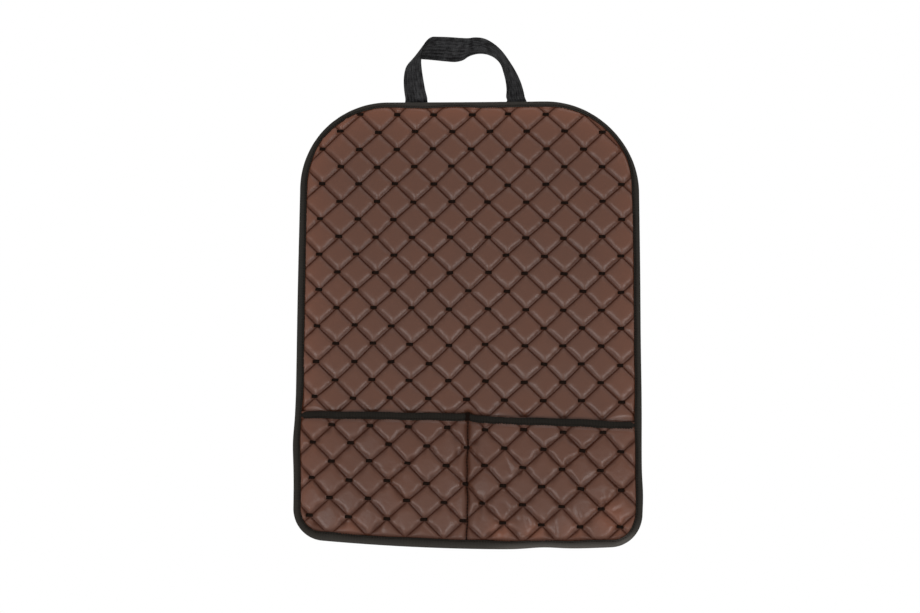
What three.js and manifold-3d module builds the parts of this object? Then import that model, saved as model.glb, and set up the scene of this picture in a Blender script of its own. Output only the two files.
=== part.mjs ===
// Car seat back organizer: a quilted leatherette mat with a divided pocket and a hanging strap.
// Millimetres, +Z up. The flat back lies on the plane y = 0 and the quilted front faces -Y.
// "Depth" below is the distance forward of that back plane, so y = -depth.

import * as THREE from 'three';
import { mergeVertices } from 'three/addons/utils/BufferGeometryUtils.js';
import Module from 'manifold-3d';

// Outline of the mat, seen from the front, centred on the origin
const matWidth = 452.6;
const matHeight = 591;
const topLeftRadius = 116.5;
const topRightRadius = 125;
const bottomCornerRadius = 42;
const bottomBow = 8.9;
const topSlantDegrees = -0.45;
const bottomSlantDegrees = -0.59;

// Layers
const fit = 0.3;
const liningThickness = 0.8;
const quiltFloor = 3.4;
const quiltLoft = 6;
const panelEdgeThickness = 3.5;
const pocketFloor = 2.2;
const pocketLoft = 5;
const pocketSwell = 12.6;

// Quilting: diamonds with a stitched bar tack at every crossing
const diamondWidth = 50;
const diamondHeight = 47.6;
const tackWidth = 8.8;
const tackHeight = 4.4;
const tackRise = 1;
const tackInset = 0.7;
const shoulderShare = 0.62;
const shoulderLoft = 0.86;
const panelQuiltDrop = 208.4;
const pocketQuiltRise = 130.5;
const panelQuilt = { x: 2, z: matHeight / 2 - panelQuiltDrop, turnDegrees: -0.67 };
const pocketQuilt = { x: 0, z: pocketQuiltRise - matHeight / 2, turnDegrees: -1.65 };
const spareDiamonds = 2;

// Binding tape, folded in two over every edge
const tapeThickness = 1;
const tapeRound = 1.6;
const edgeTapeWidth = 9.6;
const mouthTapeWidth = 10.4;
const joggleWidth = 2.8;

// Pocket, which stands a little taller at the left, and its divider
const pocketHeightLeft = 177;
const pocketHeightMiddle = 174.5;
const pocketHeightRight = 166.5;
const mouthLeftZ = pocketHeightLeft - matHeight / 2;
const mouthMiddleZ = pocketHeightMiddle - matHeight / 2;
const mouthRightZ = pocketHeightRight - matHeight / 2;
const dividerX = 1.8;
const seamFloorHalf = 1.2;
const seamOpenHalf = 5;
const seamFloorLeft = 1.4;
const seamThreadWidth = 1.4;
const seamThreadHeight = 1;
const seamStitchLength = 8;
const tackBlockWidth = 7;
const tackBlockHeight = 9;
const stackBlendHeight = 26;
const stackBlendStops = [0, 0.3, 0.7, 1];
const compartmentSteps = 8;
const compartmentRises = [-0.4, 0, 0.12, 0.28, 0.5, 0.75, 1];
const seamHalf = 4;

// Hanging strap: webbing sewn flat on the back, folded over at the left and twisted at the right.
// A station gives its centre, as shares of the span, the lean and the rise, and then the way across
// the webbing, in strap widths. Across the slanting fold that way is longer than one width.
const strapThickness = 1.6;
const strapWidth = 32;
const strapLap = 12;
const strapLift = 2.6;
const strapRise = 80;
const strapLean = 10;
const leftLegX = -70.9;
const rightLegX = 64.4;
const strapSteps = 84;
const strapStations = [
  [0, -0.05, 0.087, 0.95, -0.28, -0.03],
  [-0.014, -0.32, 0.216, 0.95, -0.48, -0.2],
  [-0.026, -0.48, 0.391, 0.89, -0.58, -0.17],
  [-0.031, -0.55, 0.539, 0.8, -0.66, -0.02],
  [-0.027, -0.45, 0.673, 0.71, -0.72, 0.08],
  [-0.006, -0.15, 0.806, 0.64, -0.72, 0.31],
  [0.034, 0.3, 0.928, 0.61, -0.62, 0.64],
  [0.08, 0.85, 0.991, 0.59, -0.41, 0.83],
  [0.14, 1.25, 1.006, 0.56, -0.22, 0.92],
  [0.214, 1.45, 1.004, 0.44, -0.09, 0.99],
  [0.308, 1.55, 0.992, 0.3, -0.03, 1.04],
  [0.409, 1.45, 0.974, 0.22, -0.09, 1.02],
  [0.482, 1.22, 0.975, 0.23, -0.27, 0.88],
  [0.552, 0.9, 1.001, 0.27, -0.5, 0.66],
  [0.641, 0.45, 0.991, 0.3, -0.72, 0.43],
  [0.734, 0.15, 0.93, 0.3, -0.84, 0.21],
  [0.817, 0, 0.824, 0.32, -0.88, 0.03],
  [0.882, -0.1, 0.681, 0.4, -0.88, -0.15],
  [0.931, -0.1, 0.511, 0.53, -0.81, -0.19],
  [0.966, -0.05, 0.344, 0.64, -0.72, -0.22],
  [0.989, -0.05, 0.181, 0.73, -0.53, -0.19],
  [0.997, 0, 0.081, 0.84, -0.31, 0],
];
const barTackTeeth = 9;
const barTackHeight = 5;
const barTackThread = 0.7;
const barTackMargin = 3;

const wasm = await Module();
wasm.setup();

const leather = { color: 0x6a4a3f, roughness: 0.5, metalness: 0 };
const tape = { color: 0x1d1d1c, roughness: 0.9, metalness: 0 };
const webbing = { color: 0x232322, roughness: 0.85, metalness: 0 };
const thread = { color: 0x16100f, roughness: 0.8, metalness: 0 };
const liningCloth = { color: 0x242424, roughness: 0.95, metalness: 0 };

const radians = THREE.MathUtils.degToRad;
const halfWidth = matWidth / 2;
const edgeInset = tapeThickness + fit;
const bandInset = edgeTapeWidth + fit;
const faceInset = bandInset + joggleWidth + fit;
const liningEdgeBack = tapeThickness + fit;
const liningEdgeFront = liningEdgeBack + liningThickness;
const panelEdgeBack = liningEdgeFront + fit;
const panelEdgeFront = panelEdgeBack + panelEdgeThickness;
const panelBack = liningThickness + fit;
const pocketEdgeBack = panelEdgeFront + fit;
const pocketEdgeFront = pocketEdgeBack + pocketFloor;
const farFront = 70;
const farBack = -20;
const margin = 40;
const samePlace = 1e-3;

// Outline as four corner and side arcs; the straight stretches join one arc's end to the next
function outlineArcs() {
  const topNormal = Math.PI / 2 + radians(topSlantDegrees);
  const topReach = (matHeight / 2) * Math.sin(topNormal);
  const topArc = (x, radius) => ({
    x,
    z: (topReach - radius - x * Math.cos(topNormal)) / Math.sin(topNormal),
    radius,
  });
  const right = topArc(halfWidth - topRightRadius, topRightRadius);
  const left = topArc(topLeftRadius - halfWidth, topLeftRadius);
  const sweep = halfWidth ** 2 / (2 * bottomBow);
  const bottom = {
    x: -sweep * Math.sin(radians(bottomSlantDegrees)),
    radius: sweep,
  };
  bottom.z = -matHeight / 2 + Math.sqrt(sweep ** 2 - bottom.x ** 2);
  const foot = (x) => ({
    x,
    z: bottom.z - Math.sqrt((sweep - bottomCornerRadius) ** 2 - (x - bottom.x) ** 2),
    radius: bottomCornerRadius,
  });
  const footLeft = foot(bottomCornerRadius - halfWidth);
  const footRight = foot(halfWidth - bottomCornerRadius);
  const heading = (arc) => Math.atan2(arc.z - bottom.z, arc.x - bottom.x) + 2 * Math.PI;
  return [
    { ...right, from: 0, to: topNormal, steps: 11 },
    { ...left, from: topNormal, to: Math.PI, steps: 10 },
    { ...footLeft, from: Math.PI, to: heading(footLeft), steps: 6 },
    { ...bottom, from: heading(footLeft), to: heading(footRight), steps: 8 },
    { ...footRight, from: heading(footRight), to: 2 * Math.PI, steps: 6 },
  ];
}

function outlineRim() {
  const rim = [];
  for (const arc of outlineArcs()) {
    for (let i = 0; i <= arc.steps; i++) {
      const angle = THREE.MathUtils.lerp(arc.from, arc.to, i / arc.steps);
      const normal = { x: Math.cos(angle), z: Math.sin(angle) };
      const point = { x: arc.x + arc.radius * normal.x, z: arc.z + arc.radius * normal.z, normal };
      const last = rim[rim.length - 1];
      if (!last || Math.hypot(point.x - last.x, point.z - last.z) > samePlace) rim.push(point);
    }
  }
  return rim;
}

// Side points around the pocket's mouth, where the edge tape grows thicker
function withSideStops(rim) {
  const result = [];
  rim.forEach((here, index) => {
    result.push(here);
    const next = rim[(index + 1) % rim.length];
    const isSide = Math.abs(here.x - next.x) < samePlace && Math.abs(here.z - next.z) > stackBlendHeight;
    if (!isSide) return;
    const mouthZ = mouthHeight(here.x);
    const stops = stackBlendStops.map((share) => mouthZ + share * stackBlendHeight);
    if (next.z < here.z) stops.reverse();
    for (const z of stops) result.push({ ...here, z });
  });
  return result;
}

const rim = outlineRim();
const [, , , bottomArc] = outlineArcs();
const sideRim = withSideStops(rim);

// Distance inside the outline, negative outside it
function insetAt(x, z) {
  let best = Infinity;
  let inside = false;
  rim.forEach((a, index) => {
    const b = rim[(index + 1) % rim.length];
    const length2 = (b.x - a.x) ** 2 + (b.z - a.z) ** 2;
    const dot = (x - a.x) * (b.x - a.x) + (z - a.z) * (b.z - a.z);
    const t = length2 > 0 ? THREE.MathUtils.clamp(dot / length2, 0, 1) : 0;
    best = Math.min(best, Math.hypot(x - a.x - t * (b.x - a.x), z - a.z - t * (b.z - a.z)));
    if (a.z > z !== b.z > z && x < a.x + ((z - a.z) / (b.z - a.z)) * (b.x - a.x)) inside = !inside;
  });
  return inside ? best : -best;
}

function mouthHeight(x) {
  const side = x < dividerX ? mouthLeftZ : mouthRightZ;
  const reach = x < dividerX ? halfWidth + dividerX : halfWidth - dividerX;
  return THREE.MathUtils.lerp(mouthMiddleZ, side, Math.abs(x - dividerX) / reach);
}

function bottomHeight(x) {
  return bottomArc.z - Math.sqrt(bottomArc.radius ** 2 - (x - bottomArc.x) ** 2) + bandInset;
}

// Depth of the pocket's back: down on the panel at the side tapes, the divider and the bottom
function pocketBackAt(x, z) {
  const side = Math.sign(x - dividerX);
  const room = halfWidth - bandInset - side * dividerX - seamHalf;
  const across = THREE.MathUtils.clamp((Math.abs(x - dividerX) - seamHalf) / room, 0, 1);
  const base = bottomHeight(THREE.MathUtils.clamp(x, bandInset - halfWidth, halfWidth - bandInset));
  const up = THREE.MathUtils.clamp((z - base) / (mouthHeight(x) - base), 0, 1);
  const lateral = 1 - Math.abs(2 * across - 1) ** 4;
  const vertical = 1 - (1 - up) ** 3;
  return pocketEdgeBack + pocketSwell * lateral * vertical;
}

function solidFrom(positions, triangles) {
  const mesh = new wasm.Mesh({
    numProp: 3,
    vertProperties: new Float32Array(positions),
    triVerts: new Uint32Array(triangles),
  });
  const solid = new wasm.Manifold(mesh);
  return solid.volume() < 0 ? turnedOut(positions, triangles) : solid;
}

function turnedOut(positions, triangles) {
  const turned = [];
  for (let i = 0; i < triangles.length; i += 3) {
    turned.push(triangles[i], triangles[i + 2], triangles[i + 1]);
  }
  return solidFrom(positions, turned);
}

function solidFromGeometry(geometry) {
  const bare = geometry.clone();
  bare.deleteAttribute('normal');
  bare.deleteAttribute('uv');
  const merged = mergeVertices(bare, samePlace);
  return solidFrom(merged.attributes.position.array, merged.index.array);
}

function geometryFrom(solid) {
  const { vertProperties, triVerts } = solid.getMesh();
  const geometry = new THREE.BufferGeometry();
  geometry.setAttribute('position', new THREE.BufferAttribute(vertProperties, 3));
  geometry.setIndex(new THREE.BufferAttribute(triVerts, 1));
  const flat = geometry.toNonIndexed();
  flat.computeVertexNormals();
  return flat;
}

// Closed skin over loops of equal length: open ends are capped, a closed run joins last to first
function skin(loops, isClosed) {
  const count = loops[0].length;
  const positions = loops.flat(2);
  const triangles = [];
  const last = isClosed ? loops.length : loops.length - 1;
  for (let i = 0; i < last; i++) {
    const a = i * count;
    const b = ((i + 1) % loops.length) * count;
    for (let j = 0; j < count; j++) {
      const k = (j + 1) % count;
      triangles.push(a + j, b + j, b + k, a + j, b + k, a + k);
    }
  }
  if (!isClosed) {
    triangles.push(...capTriangles(loops[0], 0, true));
    triangles.push(...capTriangles(loops[last], last * count, false));
  }
  return solidFrom(positions, triangles);
}

// Flat end of a skin, triangulated in the plane that shows it largest
function capTriangles(loop, offset, isForward) {
  const spans = [0, 1, 2].map((axis) => {
    const values = loop.map((point) => point[axis]);
    return Math.max(...values) - Math.min(...values);
  });
  const dropped = spans.indexOf(Math.min(...spans));
  const kept = [0, 1, 2].filter((axis) => axis !== dropped);
  const contour = loop.map((point) => new THREE.Vector2(point[kept[0]], point[kept[1]]));
  return facesAlong(contour, isForward).flat().map((index) => index + offset);
}

// Triangles of a contour, wound along its own order or against it
function facesAlong(contour, isForward) {
  const faces = THREE.ShapeUtils.triangulateShape([...contour], []);
  const area = THREE.ShapeUtils.area;
  const follows = area(contour) * area(faces[0].map((index) => contour[index])) > 0;
  return follows === isForward ? faces : faces.map(([a, b, c]) => [a, c, b]);
}

// Ring swept round the outline from a section of [inset, depth] points
function ringAround(points, sectionAt) {
  const loops = points.map(({ x, z, normal }) =>
    sectionAt(x, z).map(([inset, depth]) => [x - inset * normal.x, -depth, z - inset * normal.z]));
  return skin(loops, true);
}

// Flat plate of the outline, drawn in by an inset
function plate(inset, backDepth, frontDepth) {
  const loop = (depth) => rim.map(({ x, z, normal }) =>
    [x - inset * normal.x, -depth, z - inset * normal.z]);
  return skin([loop(backDepth), loop(frontDepth)], false);
}

// Curtain swept along the pocket's mouth from a section of [height, depth] points
function alongMouth(section, endInset) {
  const loops = mouthStops(halfWidth - endInset).map((x) => {
    const mouthZ = mouthHeight(x);
    return section.map(([height, depth]) => [x, -(pocketBackAt(x, mouthZ) + depth), mouthZ + height]);
  });
  return skin(loops, false);
}

// Stations across the two compartments, carried on past the side tapes where the reach asks for it
function mouthStops(reach) {
  const side = halfWidth - bandInset;
  const compartments = [[-side, dividerX - seamHalf], [dividerX + seamHalf, side]];
  const stops = [];
  for (const [from, to] of compartments) {
    for (let i = 0; i <= compartmentSteps; i++) {
      stops.push(THREE.MathUtils.lerp(from, to, i / compartmentSteps));
    }
  }
  return reach > side ? [-reach, ...stops, reach] : stops;
}

// Everything in front of the pocket's back, up to a height below the mouth
function pocketSpace(clearance, mouthDrop) {
  const reach = halfWidth - bandInset;
  const loops = mouthStops(halfWidth + margin).map((x) => {
    const base = bottomHeight(THREE.MathUtils.clamp(x, -reach, reach));
    const top = mouthHeight(x) - mouthDrop;
    const back = compartmentRises.map((rise) => {
      const z = THREE.MathUtils.lerp(base, top, rise);
      return [x, -(pocketBackAt(x, z) - clearance), z];
    });
    return [...back, [x, -farFront, top], [x, -farFront, back[0][2]]];
  });
  return skin(loops, false);
}

// Quilted relief: pillowed diamonds and raised tacks, closed behind by a flat back
function quiltedSlab(quilt, backDepth, frontAt) {
  const halfX = diamondWidth / 2;
  const halfZ = diamondHeight / 2;
  const columns = Math.ceil((halfWidth + Math.abs(quilt.x)) / halfX) + spareDiamonds;
  const rows = Math.ceil((matHeight / 2 + Math.abs(quilt.z)) / halfZ) + spareDiamonds;
  const cos = Math.cos(radians(quilt.turnDegrees));
  const sin = Math.sin(radians(quilt.turnDegrees));
  const relief = { keys: new Map(), positions: [], triangles: [] };
  const place = (u, v, loft) => {
    const x = quilt.x + u * cos - v * sin;
    const z = quilt.z + u * sin + v * cos;
    return reliefVertex(relief, x, z, frontAt(x, z, loft));
  };
  for (let i = -columns; i <= columns; i++) {
    for (let j = -rows; j <= rows; j++) {
      const u = i * halfX;
      const v = j * halfZ;
      const x = quilt.x + u * cos - v * sin;
      const z = quilt.z + u * sin + v * cos;
      if (insetAt(x, z) < -halfX) continue;
      if ((i + j) % 2 === 0) addTack(relief, u, v, place);
      else addDiamond(relief, u, v, halfX, halfZ, place);
    }
  }
  return closedBehind(relief, backDepth);
}

function reliefVertex(relief, x, z, depth) {
  const key = `${x.toFixed(3)} ${z.toFixed(3)}`;
  if (!relief.keys.has(key)) {
    relief.keys.set(key, relief.positions.length / 3);
    relief.positions.push(x, -depth, z);
  }
  return relief.keys.get(key);
}

function addDiamond(relief, u, v, halfX, halfZ, place) {
  const tackX = tackWidth / 2;
  const tackZ = tackHeight / 2;
  const rimPoints = [
    [tackX, halfZ - tackZ], [halfX - tackX, tackZ], [halfX - tackX, -tackZ], [tackX, tackZ - halfZ],
    [-tackX, tackZ - halfZ], [tackX - halfX, -tackZ], [tackX - halfX, tackZ], [-tackX, halfZ - tackZ],
  ].map(([du, dv]) => place(u + du, v + dv, 0));
  const shoulder = [[0, 1], [1, 0], [0, -1], [-1, 0]].map(([du, dv]) =>
    place(u + du * shoulderShare * halfX, v + dv * shoulderShare * halfZ, shoulderLoft));
  const centre = place(u, v, 1);
  for (let side = 0; side < 4; side++) {
    const next = (side + 1) % 4;
    const from = rimPoints[2 * side];
    const to = rimPoints[2 * side + 1];
    const past = rimPoints[(2 * side + 2) % 8];
    relief.triangles.push(from, to, shoulder[side], shoulder[side], to, shoulder[next]);
    relief.triangles.push(to, past, shoulder[next], shoulder[side], shoulder[next], centre);
  }
}

function addTack(relief, u, v, place) {
  const corners = (inset, loft) => [[-1, 1], [1, 1], [1, -1], [-1, -1]].map(([du, dv]) =>
    place(u + du * (tackWidth / 2 - inset), v + dv * (tackHeight / 2 - inset), loft));
  const foot = corners(0, 0);
  const head = corners(tackInset, -tackRise);
  for (let side = 0; side < 4; side++) {
    const next = (side + 1) % 4;
    relief.triangles.push(foot[side], foot[next], head[side], head[side], foot[next], head[next]);
  }
  relief.triangles.push(head[0], head[1], head[2], head[0], head[2], head[3]);
}

// Walls from the relief's border back to a flat plane, and the plane itself
function closedBehind(relief, backDepth) {
  const { positions, triangles } = relief;
  const next = new Map();
  const used = new Set();
  for (let i = 0; i < triangles.length; i += 3) {
    for (let k = 0; k < 3; k++) used.add(`${triangles[i + k]} ${triangles[i + ((k + 1) % 3)]}`);
  }
  for (const edge of used) {
    const [a, b] = edge.split(' ').map(Number);
    if (!used.has(`${b} ${a}`)) next.set(a, b);
  }
  const [start] = next.keys();
  const border = [start];
  for (let index = next.get(start); index !== start; index = next.get(index)) border.push(index);
  const first = positions.length / 3;
  for (const index of border) positions.push(positions[3 * index], -backDepth, positions[3 * index + 2]);
  border.forEach((a, i) => {
    const k = (i + 1) % border.length;
    triangles.push(border[k], a, first + i, border[k], first + i, first + k);
  });
  const contour = border.map((index) => new THREE.Vector2(positions[3 * index], positions[3 * index + 2]));
  triangles.push(...facesAlong(contour, false).flat().map((index) => index + first));
  return solidFrom(positions, triangles);
}

// Loft 0 is the groove floor, 1 the crown; a negative loft is an absolute rise above the floor
function reliefDepth(floorDepth, loft, share) {
  return loft < 0 ? floorDepth - loft : floorDepth + share * loft;
}

const frontTapeSpace = (depth) => ringAround(rim, () => [
  [-margin, depth], [bandInset, depth], [bandInset, farFront], [-margin, farFront],
]);

const backTapeSpace = () => ringAround(rim, () => [
  [-margin, farBack], [faceInset, farBack], [faceInset, panelBack],
  [faceInset - joggleWidth, panelEdgeBack], [-margin, panelEdgeBack],
]);

const mouthTapeSection = (grow) => [
  [-mouthTapeWidth - grow, -fit - tapeThickness - grow],
  [grow, -fit - tapeThickness - grow],
  [grow, farFront],
  [-mouthTapeWidth - grow, farFront],
];

function quiltedPanel() {
  const floorDepth = panelBack + quiltFloor;
  const slab = quiltedSlab(panelQuilt, panelBack, (x, z, loft) => reliefDepth(floorDepth, loft, quiltLoft));
  return slab
    .intersect(plate(edgeInset, farBack, farFront))
    .subtract(backTapeSpace())
    .subtract(frontTapeSpace(panelEdgeFront))
    .subtract(pocketSpace(fit, 0))
    .subtract(alongMouth(mouthTapeSection(fit), bandInset - fit));
}

function quiltedPocket() {
  const frontAt = (x, z, loft) => reliefDepth(pocketBackAt(x, z) + pocketFloor, loft, pocketLoft);
  const topGap = tapeThickness + fit;
  const frontLeg = [
    [-mouthTapeWidth - fit, pocketFloor], [farFront, pocketFloor],
    [farFront, farFront], [-mouthTapeWidth - fit, farFront],
  ];
  return quiltedSlab(pocketQuilt, 0, frontAt)
    .intersect(pocketSpace(0, topGap))
    .intersect(plate(edgeInset, farBack, farFront))
    .subtract(frontTapeSpace(pocketEdgeFront))
    .subtract(alongMouth(frontLeg, -margin))
    .subtract(dividerValley());
}

// Valley that the divider seam pulls into the pocket's front
function dividerValley() {
  const floor = pocketEdgeBack + seamFloorLeft;
  const section = [
    [dividerX - seamFloorHalf, -floor], [dividerX + seamFloorHalf, -floor],
    [dividerX + seamOpenHalf, -floor - pocketFloor - pocketLoft],
    [dividerX + seamOpenHalf, -farFront], [dividerX - seamOpenHalf, -farFront],
    [dividerX - seamOpenHalf, -floor - pocketFloor - pocketLoft],
  ];
  const loops = [-matHeight, mouthMiddleZ + margin].map((z) => section.map(([x, y]) => [x, y, z]));
  return skin(loops, false);
}

function dividerStitching() {
  const floor = pocketEdgeBack + seamFloorLeft + fit;
  const from = bottomHeight(dividerX) + fit;
  const to = mouthMiddleZ - mouthTapeWidth - 2 * fit;
  const half = seamThreadWidth / 2;
  const section = [
    [dividerX - half, -floor], [dividerX + half, -floor], [dividerX + half, -floor - seamThreadHeight / 2],
    [dividerX, -floor - seamThreadHeight], [dividerX - half, -floor - seamThreadHeight / 2],
  ];
  const stitches = Math.round((to - from) / seamStitchLength);
  const loops = [];
  for (let i = 0; i <= stitches; i++) {
    const z = THREE.MathUtils.lerp(from, to, i / stitches);
    loops.push(section.map(([x, y]) => [x, y, z]));
  }
  return skin(loops, false);
}

// Tape folded round the edge of the mat; its front leg steps forward where the pocket is sewn in
function edgeBinding() {
  return ringAround(sideRim, (x, z) => {
    const above = (z - mouthHeight(x)) / stackBlendHeight;
    const share = THREE.MathUtils.smoothstep(THREE.MathUtils.clamp(above, 0, 1), 0, 1);
    const front = THREE.MathUtils.lerp(pocketEdgeFront, panelEdgeFront, share) + fit + tapeThickness;
    return foldedTape(edgeTapeWidth, front);
  });
}

// Section of a tape folded over an edge, from its back leg round to its front leg
function foldedTape(width, front) {
  const soft = tapeRound * (1 - Math.SQRT1_2);
  return [
    [width, 0], [tapeRound, 0], [soft, soft], [0, tapeRound],
    [0, front - tapeRound], [soft, front - soft], [tapeRound, front],
    [width, front], [width, front - tapeThickness], [tapeThickness, front - tapeThickness],
    [tapeThickness, tapeThickness], [width, tapeThickness],
  ];
}

function pocketBinding() {
  const front = pocketFloor + 2 * (fit + tapeThickness);
  const back = fit + tapeThickness;
  const section = foldedTape(mouthTapeWidth, front).map(([inset, depth]) => [-inset, depth - back]);
  return alongMouth(section, bandInset);
}

// Lining: flat where the mat lies on the seat, stepped in under the edge tape
function backLining() {
  const edge = faceInset - joggleWidth;
  const profile = [
    [faceInset, 0], [edge, liningEdgeBack], [edgeInset, liningEdgeBack],
    [edgeInset, liningEdgeFront], [edge, liningEdgeFront], [faceInset, liningThickness],
  ];
  const loops = profile.map(([inset, depth]) =>
    rim.map(({ x, z, normal }) => [x - inset * normal.x, -depth, z - inset * normal.z]));
  return skin(loops, false);
}

// The strap's two edges, carried side by side through its stations and sewn flat at both ends
function strapEdges() {
  const top = matHeight / 2;
  const end = (legX) => [-strapLap, 0, strapLift].map((lift) =>
    ({ centre: [legX, fit + strapThickness / 2, top + lift], across: [1, 0, 0] }));
  const route = strapStations.map(([span, lean, rise, ...across]) => {
    const x = THREE.MathUtils.lerp(leftLegX, rightLegX, span);
    return { centre: [x, lean * strapLean, top + rise * strapRise], across };
  });
  const stations = [...end(leftLegX), ...route, ...end(rightLegX).reverse()];
  return [-strapWidth / 2, strapWidth / 2].map((offset) => new THREE.CatmullRomCurve3(
    stations.map(({ centre, across }) =>
      new THREE.Vector3(...centre).addScaledVector(new THREE.Vector3(...across), offset)),
    false, 'centripetal'));
}

function hangingStrap() {
  const [first, second] = strapEdges();
  const loops = [];
  for (let i = 0; i <= strapSteps; i++) {
    const t = i / strapSteps;
    const a = first.getPoint(t);
    const b = second.getPoint(t);
    const along = first.getTangent(t).add(second.getTangent(t));
    const normal = new THREE.Vector3().crossVectors(b.clone().sub(a), along).normalize();
    normal.multiplyScalar(strapThickness / 2);
    const under = [a.clone().sub(normal), b.clone().sub(normal)];
    const over = [b.clone().add(normal), a.clone().add(normal)];
    loops.push([...under, ...over].map((corner) => corner.toArray()));
  }
  return skin(loops, false);
}

// Zigzag bar tack across a strap end, behind the webbing
function strapStitching(legX) {
  const half = strapWidth / 2 - barTackMargin;
  const z = matHeight / 2 - strapLap + barTackMargin;
  const near = 2 * fit + strapThickness;
  const shape = new THREE.Shape();
  const tooth = (i) => legX - half + (i / barTackTeeth) * 2 * half;
  const rise = (i) => z + (i % 2) * barTackHeight;
  shape.moveTo(tooth(0), rise(0));
  for (let i = 1; i <= barTackTeeth; i++) shape.lineTo(tooth(i), rise(i));
  for (let i = barTackTeeth; i >= 0; i--) shape.lineTo(tooth(i), rise(i) + 2 * barTackThread);
  const block = new THREE.ExtrudeGeometry(shape, { depth: barTackThread, bevelEnabled: false });
  block.rotateX(Math.PI / 2);
  block.translate(0, near + barTackThread, 0);
  return solidFromGeometry(block);
}

// Dense tack that locks the divider seam over the mouth tape
function dividerBarTack() {
  const near = pocketEdgeFront + fit + tapeThickness + fit;
  const z = mouthMiddleZ - mouthTapeWidth / 2;
  const half = tackBlockWidth / 2;
  const section = (inset, depth) => [[-1, -1], [1, -1], [1, 1], [-1, 1]].map(([sx, sz]) =>
    [dividerX + sx * (half - inset), -depth, z + sz * (tackBlockHeight / 2 - inset)]);
  return skin([
    section(0, near),
    section(0, near + barTackThread),
    section(barTackThread, near + 2 * barTackThread),
  ], false);
}

function named(name, solid, look) {
  const mesh = new THREE.Mesh(geometryFrom(solid), new THREE.MeshStandardMaterial(look));
  mesh.name = name;
  return mesh;
}

const organizer = new THREE.Group();
organizer.add(
  named('quilted_panel', quiltedPanel(), leather),
  named('quilted_pocket', quiltedPocket(), leather),
  named('back_lining', backLining(), liningCloth),
  named('edge_binding', edgeBinding(), tape),
  named('pocket_binding', pocketBinding(), tape),
  named('divider_stitching', dividerStitching(), thread),
  named('divider_bar_tack', dividerBarTack(), thread),
  named('hanging_strap', hangingStrap(), webbing),
  named('strap_stitching_left', strapStitching(leftLegX), thread),
  named('strap_stitching_right', strapStitching(rightLegX), thread),
);

export default organizer;
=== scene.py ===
import math
from functools import partial

import bpy
import numpy as np
from mathutils import Matrix, Vector


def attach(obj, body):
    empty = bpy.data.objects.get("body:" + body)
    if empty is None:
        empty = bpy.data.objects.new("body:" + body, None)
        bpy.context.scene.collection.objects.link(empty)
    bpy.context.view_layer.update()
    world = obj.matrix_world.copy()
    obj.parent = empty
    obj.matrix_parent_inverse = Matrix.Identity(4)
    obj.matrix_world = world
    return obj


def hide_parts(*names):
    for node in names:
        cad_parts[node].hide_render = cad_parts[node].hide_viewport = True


# Quilted seat back mat with a divided pocket, bound edges and a webbing loop.
# Everything below is worked out in millimetres; depth is the distance in front of the flat back.
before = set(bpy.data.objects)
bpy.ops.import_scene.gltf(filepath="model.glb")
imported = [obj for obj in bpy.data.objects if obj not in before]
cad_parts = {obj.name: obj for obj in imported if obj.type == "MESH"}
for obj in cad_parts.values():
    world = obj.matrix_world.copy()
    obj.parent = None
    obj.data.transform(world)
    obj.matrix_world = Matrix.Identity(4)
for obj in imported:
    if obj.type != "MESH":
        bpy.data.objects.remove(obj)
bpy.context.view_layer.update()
mm = 0.001
fullTurn = 2 * math.pi
towardFront = (0, -1.0, 0)
towardBack = (0, 1.0, 0)

mat = {
    "width": 452.6, "height": 591.0, "topLeftRadius": 116.5, "topRightRadius": 125.0,
    "cornerRadius": 42.0, "bottomBow": 8.9, "topSlant": -0.45, "bottomSlant": -0.59,
}
halfWidth = mat["width"] / 2
topZ = mat["height"] / 2

# Depths of the sewn layers, and how far in the cloths and the band under the tape begin
layers = {
    "panelBack": 1.1, "panelEdgeBack": 2.4, "panelEdgeFront": 5.7, "pocketEdgeBack": 6.2,
    "pocketFloor": 2.2, "dividerFloor": 1.5, "rimInset": 1.6, "bandInset": 9.9,
}


# Mesh object from points in mm and arrays of triangles or quads. A closed shape that is inside out is turned
# over: its volume is the sum of p0 . (pk x pk+1) over the triangles that fan out in every face
def makePiece(name, points, faces, uv=None, marks=None, isClosed=True):
    volume = 0
    for rows in faces:
        for k in range(1, rows.shape[1] - 1):
            normal = np.cross(points[rows[:, k]], points[rows[:, k + 1]])
            volume += np.einsum("ij,ij->", points[rows[:, 0]], normal)
    if isClosed and volume < 0:
        faces = [rows[:, ::-1] for rows in faces]
        uv = None if uv is None else [part[:, ::-1] for part in uv]
    corners = np.concatenate([rows.ravel() for rows in faces]).astype(np.int32)
    sizes = np.concatenate([np.full(len(rows), rows.shape[1]) for rows in faces])
    mesh = bpy.data.meshes.new(name)
    mesh.vertices.add(len(points))
    mesh.vertices.foreach_set("co", (points * mm).astype(np.float32).ravel())
    mesh.loops.add(len(corners))
    mesh.loops.foreach_set("vertex_index", corners)
    mesh.polygons.add(len(sizes))
    mesh.polygons.foreach_set("loop_start", (np.cumsum(sizes) - sizes).astype(np.int32))
    mesh.polygons.foreach_set("use_smooth", np.ones(len(sizes), dtype=bool))
    mesh.update(calc_edges=True)
    if uv is not None:
        flat = np.concatenate([part.reshape(-1, 2) for part in uv])
        mesh.uv_layers.new(name="UVMap").data.foreach_set("uv", (flat * mm).astype(np.float32).ravel())
    for key, values in (marks or {}).items():
        mesh.attributes.new(key, "FLOAT", "POINT").data.foreach_set("value", values.astype(np.float32))
    piece = bpy.data.objects.new(name, mesh)
    bpy.context.scene.collection.objects.link(piece)
    return piece


# Rides the piece on the body, gives it its material, and hides the solids that it stands for
def finishPiece(piece, material, slotName, *nodes):
    piece.data.materials.append(material)
    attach(piece, "root")
    if nodes:
        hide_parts(*nodes)
    return piece


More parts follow.
